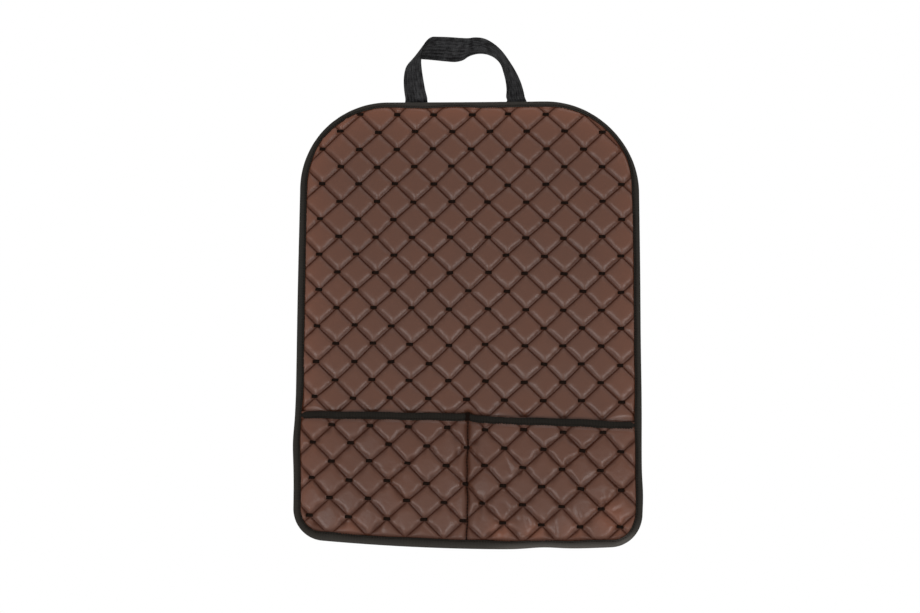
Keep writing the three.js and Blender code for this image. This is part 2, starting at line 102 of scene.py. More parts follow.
# Quads of a grid kept row by row; a round one joins its last column to the first, a looped one its last row
def gridFaces(rows, columns, isRound=False, isLoop=False):
    i = np.arange(rows if isLoop else rows - 1)[:, None]
    j = np.arange(columns if isRound else columns - 1)
    here, there = i * columns, (i + 1) % rows * columns
    step = (j + 1) % columns
    return np.stack([here + j, there + j, there + step, here + step], -1).reshape(-1, 4)


# Copies of a small template: point = place + along*t0 + across*t1 + outward*t2, with (t0, t1) as its UV
def scatter(name, template, quads, places, along, across, outward):
    count = len(places)
    points = places[:, None] + template @ np.stack([along, across, outward], 1)
    rows = quads + (np.arange(count) * len(template))[:, None, None]
    uv = np.broadcast_to(template[quads][..., :2], (count, *quads.shape, 2))
    return makePiece(name, points.reshape(-1, 3), [rows.reshape(-1, 4)], [uv.reshape(-1, 4, 2)])


# Smooth random field of about -1 to 1: the sum of sine waves with random headings, about size mm long
def ripple(x, z, size, seed, waves=7):
    rng = np.random.default_rng(seed)
    heading = rng.uniform(0, fullTurn, waves)
    stretch = fullTurn / (size * rng.uniform(0.7, 1.5, waves))
    phase = rng.uniform(0, fullTurn, waves)
    total = np.zeros(np.shape(x))
    for turn, rate, shift in zip(heading, stretch, phase):
        total = total + np.sin(rate * (x * math.cos(turn) + z * math.sin(turn)) + shift)
    return total / math.sqrt(waves)


# Smooth step from 0 to 1 as value goes from low to high
def ease(value, low=0.0, high=1.0):
    share = np.clip((value - low) / (high - low), 0, 1)
    return share * share * (3 - 2 * share)


# Bell curve exp(-(gap / half)^2)
def bell(gap, half):
    return np.exp(-(gap / half) ** 2)


# Lesser of two fields with the corner between them rounded over about soft mm
def softMin(a, b, soft):
    return 0.5 * (a + b - np.sqrt((a - b) ** 2 + soft ** 2))


# Distance run along a row of points, from 0
def runAlong(points):
    return np.append(0, np.cumsum(np.linalg.norm(np.diff(points, axis=0), axis=1)))


# The outline as arcs (x, z, radius, from, to), whose ends straight sides join. The top is a slanted line, the
# bottom a shallow slanted arc, and each corner's centre lies one radius inside them and the straight side
def outlineArcs():
    topTurn = math.pi / 2 + math.radians(mat["topSlant"])
    topReach = mat["height"] / 2 * math.sin(topTurn)
    sweep = halfWidth ** 2 / (2 * mat["bottomBow"])
    bottomX = -sweep * math.sin(math.radians(mat["bottomSlant"]))
    bottomZ = -mat["height"] / 2 + math.sqrt(sweep ** 2 - bottomX ** 2)
    shoulders, feet, turns = [], [], []
    for side, radius in ((1, mat["topRightRadius"]), (-1, mat["topLeftRadius"])):
        x = side * (halfWidth - radius)
        shoulders.append((x, (topReach - radius - x * math.cos(topTurn)) / math.sin(topTurn), radius))
    for side in (-1, 1):
        x = side * (halfWidth - mat["cornerRadius"])
        z = bottomZ - math.sqrt((sweep - mat["cornerRadius"]) ** 2 - (x - bottomX) ** 2)
        feet.append((x, z, mat["cornerRadius"]))
        turns.append(math.atan2(z - bottomZ, x - bottomX) + fullTurn)
    return [
        (*shoulders[0], 0, topTurn), (*shoulders[1], topTurn, math.pi), (*feet[0], math.pi, turns[0]),
        (bottomX, bottomZ, sweep, *turns), (*feet[1], turns[1], fullTurn),
    ]


arcs = outlineArcs()

# Places where the sewn edge stands out of the outline or draws in: x, z, half length and how far
edgeWander = [
    (-226, -158, 26, 2.0), (-226, -185, 30, 0.8), (100, -292, 26, -2.2), (226, -100, 60, 0.8),
    (192, 250, 55, -1.1), (-190, 250, 50, 0.5), (-10, 295, 90, -0.4), (226, -226, 24, 1.4),
    (-226, 50, 100, 0.5), (226, 50, 90, 0.5),
]


# Sum of bell curves around those places
def wanderAt(x, z):
    return sum(out * bell(np.hypot(x - atX, z - atZ), half) for atX, atZ, half, out in edgeWander)


# Distance inside the edge and the outline's heading there: the least reach of all arcs, and the wander
def insetAt(x, z):
    best = np.full(np.shape(x), np.inf)
    facing = np.zeros(np.shape(x))
    for centreX, centreZ, radius, start, end in arcs:
        middle, half = (start + end) / 2, (end - start) / 2
        off = (np.arctan2(z - centreZ, x - centreX) - middle + math.pi) % fullTurn - math.pi
        angle = middle + np.clip(off, -half, half)
        reach = radius - (x - centreX) * np.cos(angle) - (z - centreZ) * np.sin(angle)
        facing = np.where(reach < best, angle, facing)
        best = np.minimum(best, reach)
    return best + wanderAt(x, z), facing


# Points moved inwards: (x - inset cos(heading), -depth, z - inset sin(heading))
def movedIn(x, z, heading, inset, depth):
    parts = (x - inset * np.cos(heading), -depth, z - inset * np.sin(heading))
    return np.stack(np.broadcast_arrays(*parts), -1)


# Points along the outline about step mm apart: x, z, heading, and the distance run
def outlineStations(step):
    rows = []
    for k, (centreX, centreZ, radius, start, end) in enumerate(arcs):
        angle = np.linspace(start, end, max(3, round(radius * (end - start) / step)))
        rows.append(np.c_[centreX + radius * np.cos(angle), centreZ + radius * np.sin(angle), angle])
        nextX, nextZ, nextRadius, nextStart, _ = arcs[(k + 1) % len(arcs)]
        here = rows[-1][-1]
        there = np.array([nextX + nextRadius * math.cos(nextStart), nextZ + nextRadius * math.sin(nextStart)])
        count = round(math.hypot(*(there - here[:2])) / step)
        share = (np.arange(1, count) / max(count, 1))[:, None]
        rows.append(np.c_[here[:2] + (there - here[:2]) * share, np.full(len(share), here[2])])
    ring = np.concatenate(rows)
    isApart = np.hypot(*(ring - np.roll(ring, 1, axis=0))[:, :2].T) > 0.01
    x, z, heading = ring[isApart].T
    path = movedIn(x, z, heading, -wanderAt(x, z), 0)
    return path[:, 0], path[:, 2], heading, runAlong(np.concatenate([path, path[:1]]))


# The pocket: its mouth's height at the left, divider and right, its tape, and the space that it keeps open
mouth = {
    "leftZ": -118.5, "middleZ": -121.0, "rightZ": -129.0, "drop": 1.7, "dropOver": (-4, 14), "topGap": 1.3,
    "tapeWidth": 10.4, "dividerX": 1.8, "seamHalf": 4.0, "swell": 9.5, "acrossPower": 4, "upPower": 2.4,
}


# Height of the mouth: two straight lines that meet at the divider, with a small drop to the right of it
def mouthHeight(x):
    isLeft = x < mouth["dividerX"]
    side = np.where(isLeft, mouth["leftZ"], mouth["rightZ"])
    reach = halfWidth + np.where(isLeft, 1, -1) * mouth["dividerX"]
    straight = mouth["middleZ"] + (side - mouth["middleZ"]) * np.abs(x - mouth["dividerX"]) / reach
    return straight - mouth["drop"] * ease(x, *mouth["dropOver"])


# Height of the sewn band's upper edge above the bottom arc
def bottomHeight(x):
    centreX, centreZ, radius = arcs[3][:3]
    return centreZ - np.sqrt(radius ** 2 - (x - centreX) ** 2) + layers["bandInset"]


# Depth of the pocket's back: flat where it is sewn down, and swelling forward towards the mouth by
# (1 - |c|^acrossPower) (1 - (1 - up)^upPower), with c from -1 to 1 across a compartment and up from 0 to 1
def pocketBackAt(x, z):
    gap = x - mouth["dividerX"]
    sewn = halfWidth - layers["bandInset"]
    room = sewn - np.sign(gap) * mouth["dividerX"] - mouth["seamHalf"]
    across = np.clip((np.abs(gap) - mouth["seamHalf"]) / room, 0, 1)
    base = bottomHeight(np.clip(x, -sewn, sewn))
    up = np.clip((z - base) / (mouthHeight(x) - base), 0, 1)
    swell = (1 - np.abs(2 * across - 1) ** mouth["acrossPower"]) * (1 - (1 - up) ** mouth["upPower"])
    return layers["pocketEdgeBack"] + mouth["swell"] * swell


# Visible width of the edge tape and how much painted sheen makes it pale, over all and at its inner edge, by
# heading in degrees. Sewn by hand, it is wide below and left, and narrower at the top corners and at the
# lower right
edgeTapeLook = {
    "widths": ([0, 25, 60, 90, 120, 160, 180, 225, 270, 315, 360],
               [9.0, 6.6, 6.0, 8.2, 7.6, 8.6, 10.2, 11.0, 12.0, 10.4, 9.0]),
    "worn": ([0, 30, 60, 90, 120, 180, 225, 270, 300, 330, 360],
             [0.25, 0.4, 0.45, 0.42, 0.28, 0.28, 0.25, 0.4, 0.8, 0.45, 0.25]),
    "sheenInside": ([0, 30, 60, 90, 120, 225, 270, 300, 330, 360],
                   [0, 0.1, 0.3, 0.5, 0.1, 0, 0.1, 0.4, 0.2, 0]),
    "wander": 0.5, "wanderSize": 70, "narrowing": 1.8, "narrowOver": ((10, 70), (262, 284)),
    "sheenBottomRight": 0.6, "sheenOver": ((20, 70), (270, 285)),
}


# Value of a table of headings and values at a heading
def atHeading(heading, table):
    return np.interp(np.degrees(heading) % 360, *table)


def tapeWidthAt(x, z, heading):
    width = atHeading(heading, edgeTapeLook["widths"])
    overX, overZ = edgeTapeLook["narrowOver"]
    width = width - edgeTapeLook["narrowing"] * ease(x, *overX) * ease(-z, *overZ)
    return width + edgeTapeLook["wander"] * ripple(x, z, edgeTapeLook["wanderSize"], 11)


# The quilting that both layers share: the diamond, the wander of its lines, and small forms beside the seams
quilt = {
    "width": 50.0, "height": 47.6, "warp": 0.7, "warpSize": 110, "cuts": 24, "gather": 0.74, "snap": 0.8,
    "notchHalf": 0.85, "upShift": 1.4, "tilt": 0.2, "unevenSizes": (19, 15), "unevenFrom": 3,
    "dimpleAt": 3.4, "dimpleHalf": 0.7, "dimpleDepth": 0.2, "ringAt": 2.4, "ringHalf": 1.1,
    "rimRise": 2.8, "rimGap": 0.3, "tackSoft": 0.9,
}
tack = {"width": 8.8, "height": 4.3, "rise": 1.5, "sink": 0.7, "turn": 0.05, "shift": 0.35}
quiltPitch = quilt["width"] * quilt["height"] / 2 / math.hypot(quilt["width"] / 2, quilt["height"] / 2)

# Each layer's quilting: its place and height, the pillows' height and sides (start, reach, notch, power), a
# long wave (rise, size, seed), how dark the seam lines are and the painted shade on the groove walls and over
# the whole layer, the lattice cells, and the room that rows of stitches and tacks leave to the edge tape, to
# the mouth and to the divider
panelQuilt = {
    "x": 2.0, "z": 87.1, "turn": math.radians(-0.67), "seed": 3, "base": 6.6, "loft": 3.4, "ring": 0.15,
    "lowerLeft": (2.4, 14.5, 0.06, 3.6), "lowerRight": (1.6, 13.5, 0.1, 3.4), "upper": (0.0, 9.5, 0.2, 2.2),
    "uneven": 0.4, "puffSpread": 0.1, "wave": (0.35, 130, 31),
    "seamHalf": 1.7, "seamShare": 0.8, "wallShadeHalf": 4.2, "wallShadeLower": 0.45, "wallShadeUpper": 0.2, "shade": 0.0,
    "cells": (-13, 10, -10, 13), "span": 15, "rowRoom": (2.5, 3.0, 0), "tackRoom": (1.5, 1.0, 0),
}
pocketQuilt = {
    "x": 0.0, "z": -165.0, "turn": math.radians(-1.65), "seed": 5, "base": 3.7, "loft": 3.3, "ring": 0.7,
    "lowerLeft": (2.6, 12.0, 0.25, 5), "lowerRight": (3.2, 13.0, 0.25, 5), "upper": (1.2, 9.0, 0.3, 2.2),
    "uneven": 1.0, "puffSpread": 0.22, "wave": (0.5, 70, 32),
    "seamHalf": 1.9, "seamShare": 0.85, "wallShadeHalf": 4.2, "wallShadeLower": 0.55, "wallShadeUpper": 0.3, "shade": 0.09,
    "cells": (-9, 8, -7, 9), "span": 10, "rowRoom": (2.5, 2.5, 3.0), "tackRoom": (1.5, 1.0, 0),
}


# Place of lattice point (a, b): a counts the grooves that run down to the right, b those that run up
def quiltPlace(look, a, b):
    u = (a + b) * quilt["width"] / 2
    v = (a - b) * quilt["height"] / 2
    x = look["x"] + u * math.cos(look["turn"]) - v * math.sin(look["turn"])
    z = look["z"] + u * math.sin(look["turn"]) + v * math.cos(look["turn"])
    shiftX, shiftZ = (quilt["warp"] * ripple(x, z, quilt["warpSize"], look["seed"] + k) for k in (0, 1))
    return x + shiftX, z + shiftZ


# Lattice point after a move by (shiftX, shiftZ) mm
def latticeShift(look, a, b, shiftX, shiftZ):
    u = (shiftX * math.cos(look["turn"]) + shiftZ * math.sin(look["turn"])) / quilt["width"]
    v = (shiftZ * math.cos(look["turn"]) - shiftX * math.sin(look["turn"])) / quilt["height"]
    return a + u + v, b + u - v


# How far lattice point (a, b) lies past its nearest groove of either kind; the grooves that run up to the
# right pass a little beside the tacks
def grooveGaps(a, b):
    return (a - np.rint(a)) * quiltPitch, (b - np.rint(b)) * quiltPitch - quilt["upShift"]


# Distance of lattice point (a, b) outside the rectangle of its nearest tack
def tackGap(a, b):
    restA, restB = a - np.rint(a), b - np.rint(b)
    beside = np.abs(restA + restB) * quilt["width"] / 2 - tack["width"] / 2
    above = np.abs(restA - restB) * quilt["height"] / 2 - tack["height"] / 2
    return np.hypot(np.maximum(beside, 0), np.maximum(above, 0))


# One side of a pillow, 0 in the groove and 1 on the crown: a share of it is a narrow notch, one less a bell
# curve, and the rest is 1 - (1 - s)^power, with s running from 0 at start to 1 at reach
def pillowSide(gap, start, reach, notch, power):
    share = np.clip((gap - start) / (reach - start), 0, 1)
    return notch * (1 - bell(gap, quilt["notchHalf"])) + (1 - notch) * (1 - (1 - share) ** power)


# Distances from the nearest groove of either kind, which grow and shrink a little along it
def flankGaps(look, a, b):
    gaps = []
    for k, gap in enumerate(grooveGaps(a, b)):
        along = ripple(a * quiltPitch, b * quiltPitch, quilt["unevenSizes"][k], look["seed"] + 60 + k)
        uneven = look["uneven"] * along * np.minimum(np.abs(gap) / quilt["unevenFrom"], 1)
        gaps.append(np.maximum(np.abs(gap) + uneven, 0))
    return gaps


# Height of the quilting over its base: the pillow's two nearest sides multiplied, fuller or flatter from
# diamond to diamond, with a faint row of dimples above one seam and puckers around the tacks
def quiltHeight(look, a, b):
    fromDown, fromUp = grooveGaps(a, b)
    flankA, flankB = flankGaps(look, a, b)
    sideA = np.where(fromDown > 0, pillowSide(flankA, *look["lowerLeft"]), pillowSide(flankA, *look["upper"]))
    sideB = np.where(fromUp < 0, pillowSide(flankB, *look["lowerRight"]), pillowSide(flankB, *look["upper"]))
    rng = np.random.default_rng(look["seed"] + 20)
    spread = rng.uniform(-1, 1, (4, 64, 64))
    fullness, tiltA, tiltB, mark = spread[:, np.floor(a).astype(int) % 64, np.floor(b).astype(int) % 64]
    restA, restB = a - np.floor(a) - 0.5, b - np.floor(b) - 0.5
    puff = 1 + look["puffSpread"] * fullness + quilt["tilt"] * (tiltA * restA + tiltB * restB)
    dimpleAcross = bell(fromDown - quilt["dimpleAt"], quilt["dimpleHalf"])
    dimple = quilt["dimpleDepth"] * (0.6 + 0.4 * mark) * dimpleAcross
    gap = tackGap(a, b)
    ring = look["ring"] * (1 + mark) * bell(gap - quilt["ringAt"], quilt["ringHalf"])
    height = look["loft"] * sideA * sideB * puff + (ring - dimple) * np.minimum(sideA * sideB * 4, 1)
    return height * (1 - bell(gap, quilt["tackSoft"]))


# How dark a spot is painted: most in a groove, a bell curve, where the seam line is dark with painted shade,
# and less on the walls beside it, exp(-(gap / half)^6), as painted shade; the layer's own painted shade is
# the least
def seamAndShadeMark(look, a, b):
    fromDown, fromUp = grooveGaps(a, b)
    marks = []
    for gap, isLower in zip(flankGaps(look, a, b), (fromDown > 0, fromUp < 0)):
        share = np.where(isLower, look["wallShadeLower"], look["wallShadeUpper"])
        wallShade = share * np.exp(-(gap / look["wallShadeHalf"]) ** 6)
        marks.append(np.maximum(look["seamShare"] * bell(gap, look["seamHalf"]), wallShade))
    return np.maximum(look["shade"], np.maximum(*marks))


# Rounded rise of the padding from the tape's edge: a quarter ellipse over rimRise mm
def rimRise(gap):
    return np.sqrt(1 - (1 - np.clip((gap - quilt["rimGap"]) / quilt["rimRise"], 0, 1)) ** 2)


# The quilting's height on its base and a faint long wave
def quiltFront(look, a, b, x, z):
    rise, size, seed = look["wave"]
    return look["base"] + quiltHeight(look, a, b) + rise * ripple(x, z, size, seed)


# The panel bulges above the mouth; the pocket presses it down with some room, most under the mouth tape
press = {"bulge": 3.5, "bulgeHeight": 28.0, "bulgeOver": (8, 40), "room": 0.45, "tapeRoom": 1.4,
         "tapeOver": (-16, -11), "slope": 0.6, "slopeFrom": 0.5, "soft": 0.5}


# Depth of the panel's front: pillows on the groove floor, pressed down under the edge tape and the pocket
def panelFront(a, b, x, z):
    inset, heading = insetAt(x, z)
    above = z - mouthHeight(x)
    bulge = press["bulge"] * bell(above, press["bulgeHeight"]) * ease(inset, *press["bulgeOver"])
    surface = quiltFront(panelQuilt, a, b, x, z) + bulge
    edge = layers["panelEdgeFront"]
    depth = edge + (surface - edge) * rimRise(inset - tapeWidthAt(x, z, heading))
    room = press["room"] + press["tapeRoom"] * ease(above, *press["tapeOver"])
    limit = pocketBackAt(x, np.minimum(z, mouthHeight(x))) - room
    return softMin(depth, limit + press["slope"] * np.maximum(above - press["slopeFrom"], 0), press["soft"])


# The divider seam wanders as two sine waves (size, length, phase), on a flat strip
divider = {"waves": ((0.5, 14.0, 0.0), (0.35, 5.3, 1.0)), "flatHalf": 0.6, "riseOver": 4.5, "markHalf": 2.6}


def dividerAt(z):
    waves = (size * np.sin(z / length + phase) for size, length, phase in divider["waves"])
    return mouth["dividerX"] + sum(waves)


# Depth of the pocket's front: pillows on the swelled back, pulled in at the tapes and by tanh at the divider
def pocketFront(a, b, x, z):
    inset, heading = insetAt(x, z)
    surface = quiltFront(pocketQuilt, a, b, x, z) + pocketCreases(x, z)
    held = layers["pocketFloor"]
    fromTape = np.minimum(inset - tapeWidthAt(x, z, heading), mouthHeight(x) - mouth["tapeWidth"] - z)
    depth = pocketBackAt(x, z) + held + (surface - held) * rimRise(fromTape)
    seam = layers["pocketEdgeBack"] + layers["dividerFloor"]
    pull = np.tanh(np.maximum(np.abs(x - dividerAt(z)) - divider["flatHalf"], 0) / divider["riseOver"])
    return seam + (depth - seam) * pull


# Soft creases of the slack pocket: each a line from (x0, z0) to (x1, z1) with a half width and a height
creases = [
    (49, -172, 62, -206, 2.2, -1.6), (56, -170, 69, -200, 2.0, 1.1), (77, -246, 84, -272, 2.2, -1.6),
    (84, -244, 91, -268, 2.0, 1.1), (36, -256, 46, -261, 2.0, -1.4), (38, -265, 48, -269, 1.8, -1.2),
    (176, -252, 197, -266, 2.4, -1.6), (182, -264, 201, -259, 2.0, 1.2), (186, -246, 201, -240, 2.0, -1.2),
    (96, -250, 107, -256, 1.8, -1.2), (48, -232, 70, -262, 2.9, -1.6), (112, -246, 118, -282, 2.3, -1.6),
    (104, -244, 109, -280, 2.2, 1.3), (60, -268, 84, -281, 2.2, -1.3), (140, -236, 152, -268, 2.4, -1.3),
    (-20, -232, -14, -270, 2.4, -1.3), (22, -222, 17, -262, 2.3, -1.4), (-60, -262, -38, -282, 2.2, -1.2),
    (-118, -250, -104, -284, 2.3, -1.2), (176, -216, 186, -252, 2.4, -1.2), (-12, -150, -9, -205, 2.2, -1),
    (14, -150, 12, -198, 2.2, -1), (38, -262, 52, -284, 2.3, 1.2), (-170, -236, -158, -270, 2.6, -1),
    (128, -176, 137, -205, 2.3, -1), (-86, -176, -80, -212, 2.4, -0.9),
]


# Sum of rounded ridges and valleys: a bell curve across each line, fading along it as 1 - (2 s - 1)^2
def pocketCreases(x, z):
    total = np.zeros(np.shape(x))
    for x0, z0, x1, z1, half, height in creases:
        alongX, alongZ = x1 - x0, z1 - z0
        share = ((x - x0) * alongX + (z - z0) * alongZ) / (alongX ** 2 + alongZ ** 2)
        off = np.hypot(x - x0 - share * alongX, z - z0 - share * alongZ)
        total = total + height * np.clip(1 - (2 * share - 1) ** 2, 0, 1) * bell(off, half)
    return total


# Painted light: the leather is painted redder and lighter towards the edges, most at the top and left, and at
# a few listed spots (x, z, radius and share)
stretch = {
    "all": 0.44, "top": 0.36, "left": 0.14, "from": 10, "fade": 24,
    "redSpots": [(190, -256, 26, 0.9), (45, -274, 15, 0.9), (89, -274, 15, 0.9), (-150, -276, 22, 0.6),
               (140, -272, 18, 0.6)],
}


# Share of painted light: the edge's share fades inwards as exp(-inset / fade), and each spot is a bell curve;
# the greatest counts
def rimLightMark(x, z):
    inset, heading = insetAt(x, z)
    facing = stretch["top"] * np.sin(heading) - stretch["left"] * np.cos(heading) + stretch["all"]
    edge = np.clip(facing, 0, 1) * np.exp(-np.maximum(inset - stretch["from"], 0) / stretch["fade"])
    spots = [share * bell(np.hypot(x - atX, z - atZ), radius)
             for atX, atZ, radius, share in stretch["redSpots"]]
    return np.maximum.reduce([edge, *spots])


# Lattice grid over a layer's cells, kept where it lies inside and, in the pocket, below its mouth. Its lines
# gather at the grooves: cut t lies at t - gather * sin(2 pi t) / (2 pi). Points near the tape's edge or past
# the rim move on to it
def quiltGrid(look, isBelowMouth):
    lowA, highA, lowB, highB = look["cells"]
    share = np.arange(quilt["cuts"]) / quilt["cuts"]
    cuts = share - quilt["gather"] * np.sin(fullTurn * share) / fullTurn
    lineA = (np.arange(lowA, highA)[:, None] + cuts).ravel()
    lineB = (np.arange(lowB, highB)[:, None] + cuts).ravel() + quilt["upShift"] / quiltPitch
    a, b = (grid.ravel() for grid in np.meshgrid(lineA, lineB, indexing="ij"))
    x, z = quiltPlace(look, a, b)
    inset, heading = insetAt(x, z)
    isInside = inset > layers["rimInset"]
    if isBelowMouth:
        drop = np.maximum(z - (mouthHeight(x) - mouth["topGap"]), 0)
        isInside &= drop == 0
        a, b = latticeShift(look, a, b, 0 * drop, -drop)
        z = z - drop
        inset, heading = insetAt(x, z)
    quads = gridFaces(len(lineA), len(lineB))
    quads = quads[isInside[quads].any(axis=1)]
    fromTape = tapeWidthAt(x, z, heading) + quilt["rimGap"] - inset
    move = np.where(np.abs(fromTape) < quilt["snap"], fromTape, np.maximum(layers["rimInset"] - inset, 0))
    shiftX, shiftZ = -move * np.cos(heading), -move * np.sin(heading)
    a, b = latticeShift(look, a, b, shiftX, shiftZ)
    used, quads = np.unique(quads, return_inverse=True)
    return a[used], b[used], (x + shiftX)[used], (z + shiftZ)[used], quads.reshape(-1, 4)


# Directed edges that only one face has, as pairs of points
def borderEdges(quads):
    pairs = np.stack([quads, np.roll(quads, -1, axis=1)], -1).reshape(-1, 2)
    weight = quads.max() + 1
    key, back = pairs[:, 0] * weight + pairs[:, 1], pairs[:, 1] * weight + pairs[:, 0]
    return pairs[~np.isin(key, back)]


# Closes the shell behind: walls from the border through rings of (inset, depth), and a fan to one point
def closeBehind(points, quads, rings):
    last = borderEdges(quads)
    names, ends = np.unique(last, return_inverse=True)
    ends = ends.reshape(-1, 2)
    x, z = points[names, 0], points[names, 2]
    _, heading = insetAt(x, z)
    faces, parts, count = [quads], [points], len(points)
    for inset, depth in rings:
        parts.append(movedIn(x, z, heading, inset - layers["rimInset"], depth))
        here = ends + count
        faces.append(np.c_[last[:, 1], last[:, 0], here[:, 0], here[:, 1]])
        last, count = here, count + len(x)
    parts.append(np.array([[0.0, -rings[-1][1], 0.0]]))
    faces.append(np.c_[last[:, 1], last[:, 0], np.full(len(last), count)])
    return np.concatenate(parts), faces


# sRGB hex colour as linear RGBA
def colour(code):
    parts = [int(code[i:i + 2], 16) / 255 for i in (1, 3, 5)]
    return (*[p / 12.92 if p <= 0.04045 else ((p + 0.055) / 1.055) ** 2.4 for p in parts], 1.0)


# Adds a shader node; settings go to its inputs or properties, links join outputs of other nodes to its inputs
def addNode(tree, kind, settings=None, links=None):
    made = tree.nodes.new("ShaderNode" + kind)
    for key, value in (settings or {}).items():
        if isinstance(key, int) or key in made.inputs:
            made.inputs[key].default_value = value
        else:
            setattr(made, key, value)
    for key, (source, output) in (links or {}).items():
        tree.links.new(source.outputs[output], made.inputs[key])
    return made


# Empty material or world, and the function above for its own node tree
def emptyTree(made):
    made.use_nodes = True
    made.node_tree.nodes.clear()
    return made, partial(addNode, made.node_tree)


# Scale at which a noise or cell pattern is about size mm across
def perMetre(size):
    return 1000 / size


# Scale at which a wave texture's bands are pitch mm apart: it repeats every 2 pi / 20 of what it reads
def waveScale(pitch):
    return 1000 / pitch * fullTurn / 20


# Embossed PU leatherette over foam: a soft sheen, fine pebbled grain, painted light that makes it redder and
# lighter towards the edges, and darker and dull along the seams: a dark seam line with painted shade in the
# grooves and on their walls
leatherLook = {
    "base": "#4d2f22", "warm": "#573322", "rim": "#6e412d", "seam": "#331a11", "roughness": (0.29, 0.42),
    "specular": 0.37, "grainSize": 1.5, "grainDepth": 0.10, "creaseSize": 9.0, "creaseDepth": 0.8,
    "patchSize": 60.0,
}


def leatherette():
    look = leatherLook
    material, add = emptyTree(bpy.data.materials.new("embossed_leatherette"))
    onObject = {"Vector": (add("TexCoord"), "Object")}
    patch = add("TexNoise", {"Scale": perMetre(look["patchSize"]), "Detail": 4.0}, onObject)
    edge = add("Attribute", {"attribute_name": "rim"})
    mark = add("Attribute", {"attribute_name": "seam"})
    tone = add("Mix", {"data_type": "RGBA", 6: colour(look["base"]), 7: colour(look["warm"])},
               {0: (patch, "Fac")})
    # Painted light: redder and lighter towards the edges and at a few spots
    rimLit = add("Mix", {"data_type": "RGBA", 7: colour(look["rim"])}, {0: (edge, "Fac"), 6: (tone, 2)})
    # Painted shade: darker along the seam lines, in the grooves and on their walls, and a little over the
    # whole pocket
    sewn = add("Mix", {"data_type": "RGBA", 7: colour(look["seam"])}, {0: (mark, "Fac"), 6: (rimLit, 2)})
    pebble = add("TexVoronoi", {"Scale": perMetre(look["grainSize"]), "feature": "SMOOTH_F1"}, onObject)
    soft = add("TexNoise", {"Scale": perMetre(look["creaseSize"]), "Detail": 3.0}, onObject)
    grain = add("Bump", {"Strength": 0.6, "Distance": look["grainDepth"] * mm},
                {"Height": (pebble, "Distance")})
    crease = add("Bump", {"Strength": 0.5, "Distance": look["creaseDepth"] * mm},
                 {"Height": (soft, "Fac"), "Normal": (grain, "Normal")})
    smooth, rough = look["roughness"]
    gloss = add("MapRange", {"To Min": smooth, "To Max": rough}, {"Value": (soft, "Fac")})
    sheen = add("MapRange", {"To Min": look["specular"], "To Max": 0.0}, {"Value": (mark, "Fac")})
    shader = add("BsdfPrincipled", None, {"Base Color": (sewn, 2), "Specular IOR Level": (sheen, "Result"),
                                          "Roughness": (gloss, "Result"), "Normal": (crease, "Normal")})
    add("OutputMaterial", None, {"Surface": (shader, "BSDF")})
    return material


# Woven polyester binding tape: matt, with ribs across it, drawn coarser than real so that they show; paler
# with a painted sheen where it rolls outwards, as its attribute says
tapeMaterialLook = {"base": "#1e1b17", "rib": "#12100e", "worn": "#4c4945", "ribPitch": 3.8, "ribDepth": 0.12,
                    "patchScale": 60.0, "roughness": 0.8, "specular": 0.08}


def bindingTape():
    look = tapeMaterialLook
    material, add = emptyTree(bpy.data.materials.new("woven_binding_tape"))
    place = add("TexCoord")
    ribs = add("TexWave", {"Scale": waveScale(look["ribPitch"]), "bands_direction": "X", "Distortion": 2.5,
                           "Detail": 2.0}, {"Vector": (place, "UV")})
    patch = add("TexNoise", {"Scale": look["patchScale"], "Detail": 3.0}, {"Vector": (place, "Object")})
    mixed = add("Math", {"operation": "MULTIPLY_ADD", 1: 0.5}, {0: (ribs, "Fac"), 2: (patch, "Fac")})
    shade = add("Mix", {"data_type": "RGBA", 6: colour(look["rib"]), 7: colour(look["base"])},
                {0: (mixed, 0)})
    worn = add("Attribute", {"attribute_name": "worn"})
    # Painted sheen: paler where the tape rolls outwards
    sheenMixed = add("Mix", {"data_type": "RGBA", 7: colour(look["worn"])}, {0: (worn, "Fac"), 6: (shade, 2)})
    bump = add("Bump", {"Strength": 0.8, "Distance": look["ribDepth"] * mm}, {"Height": (ribs, "Fac")})
    shader = add("BsdfPrincipled", {"Roughness": look["roughness"], "Specular IOR Level": look["specular"]},
                 {"Base Color": (sheenMixed, 2), "Normal": (bump, "Normal")})
    add("OutputMaterial", None, {"Surface": (shader, "BSDF")})
    return material


# Woven webbing: lengthwise ribs from the warp under a mottled cross weave, matt, drawn coarser than real so
# that they show; lengthwise streaks and patches make the tone uneven
webbingLook = {"base": "#3c3c3d", "dark": "#080708", "ribPitch": 4.6, "weavePitch": 3.0, "ribDepth": 0.18,
               "streakScale": (110.0, 760.0, 1.0), "patchSize": 10.0, "toneRange": (0.76, 1.14),
               "roughness": 0.85, "specular": 0.12}


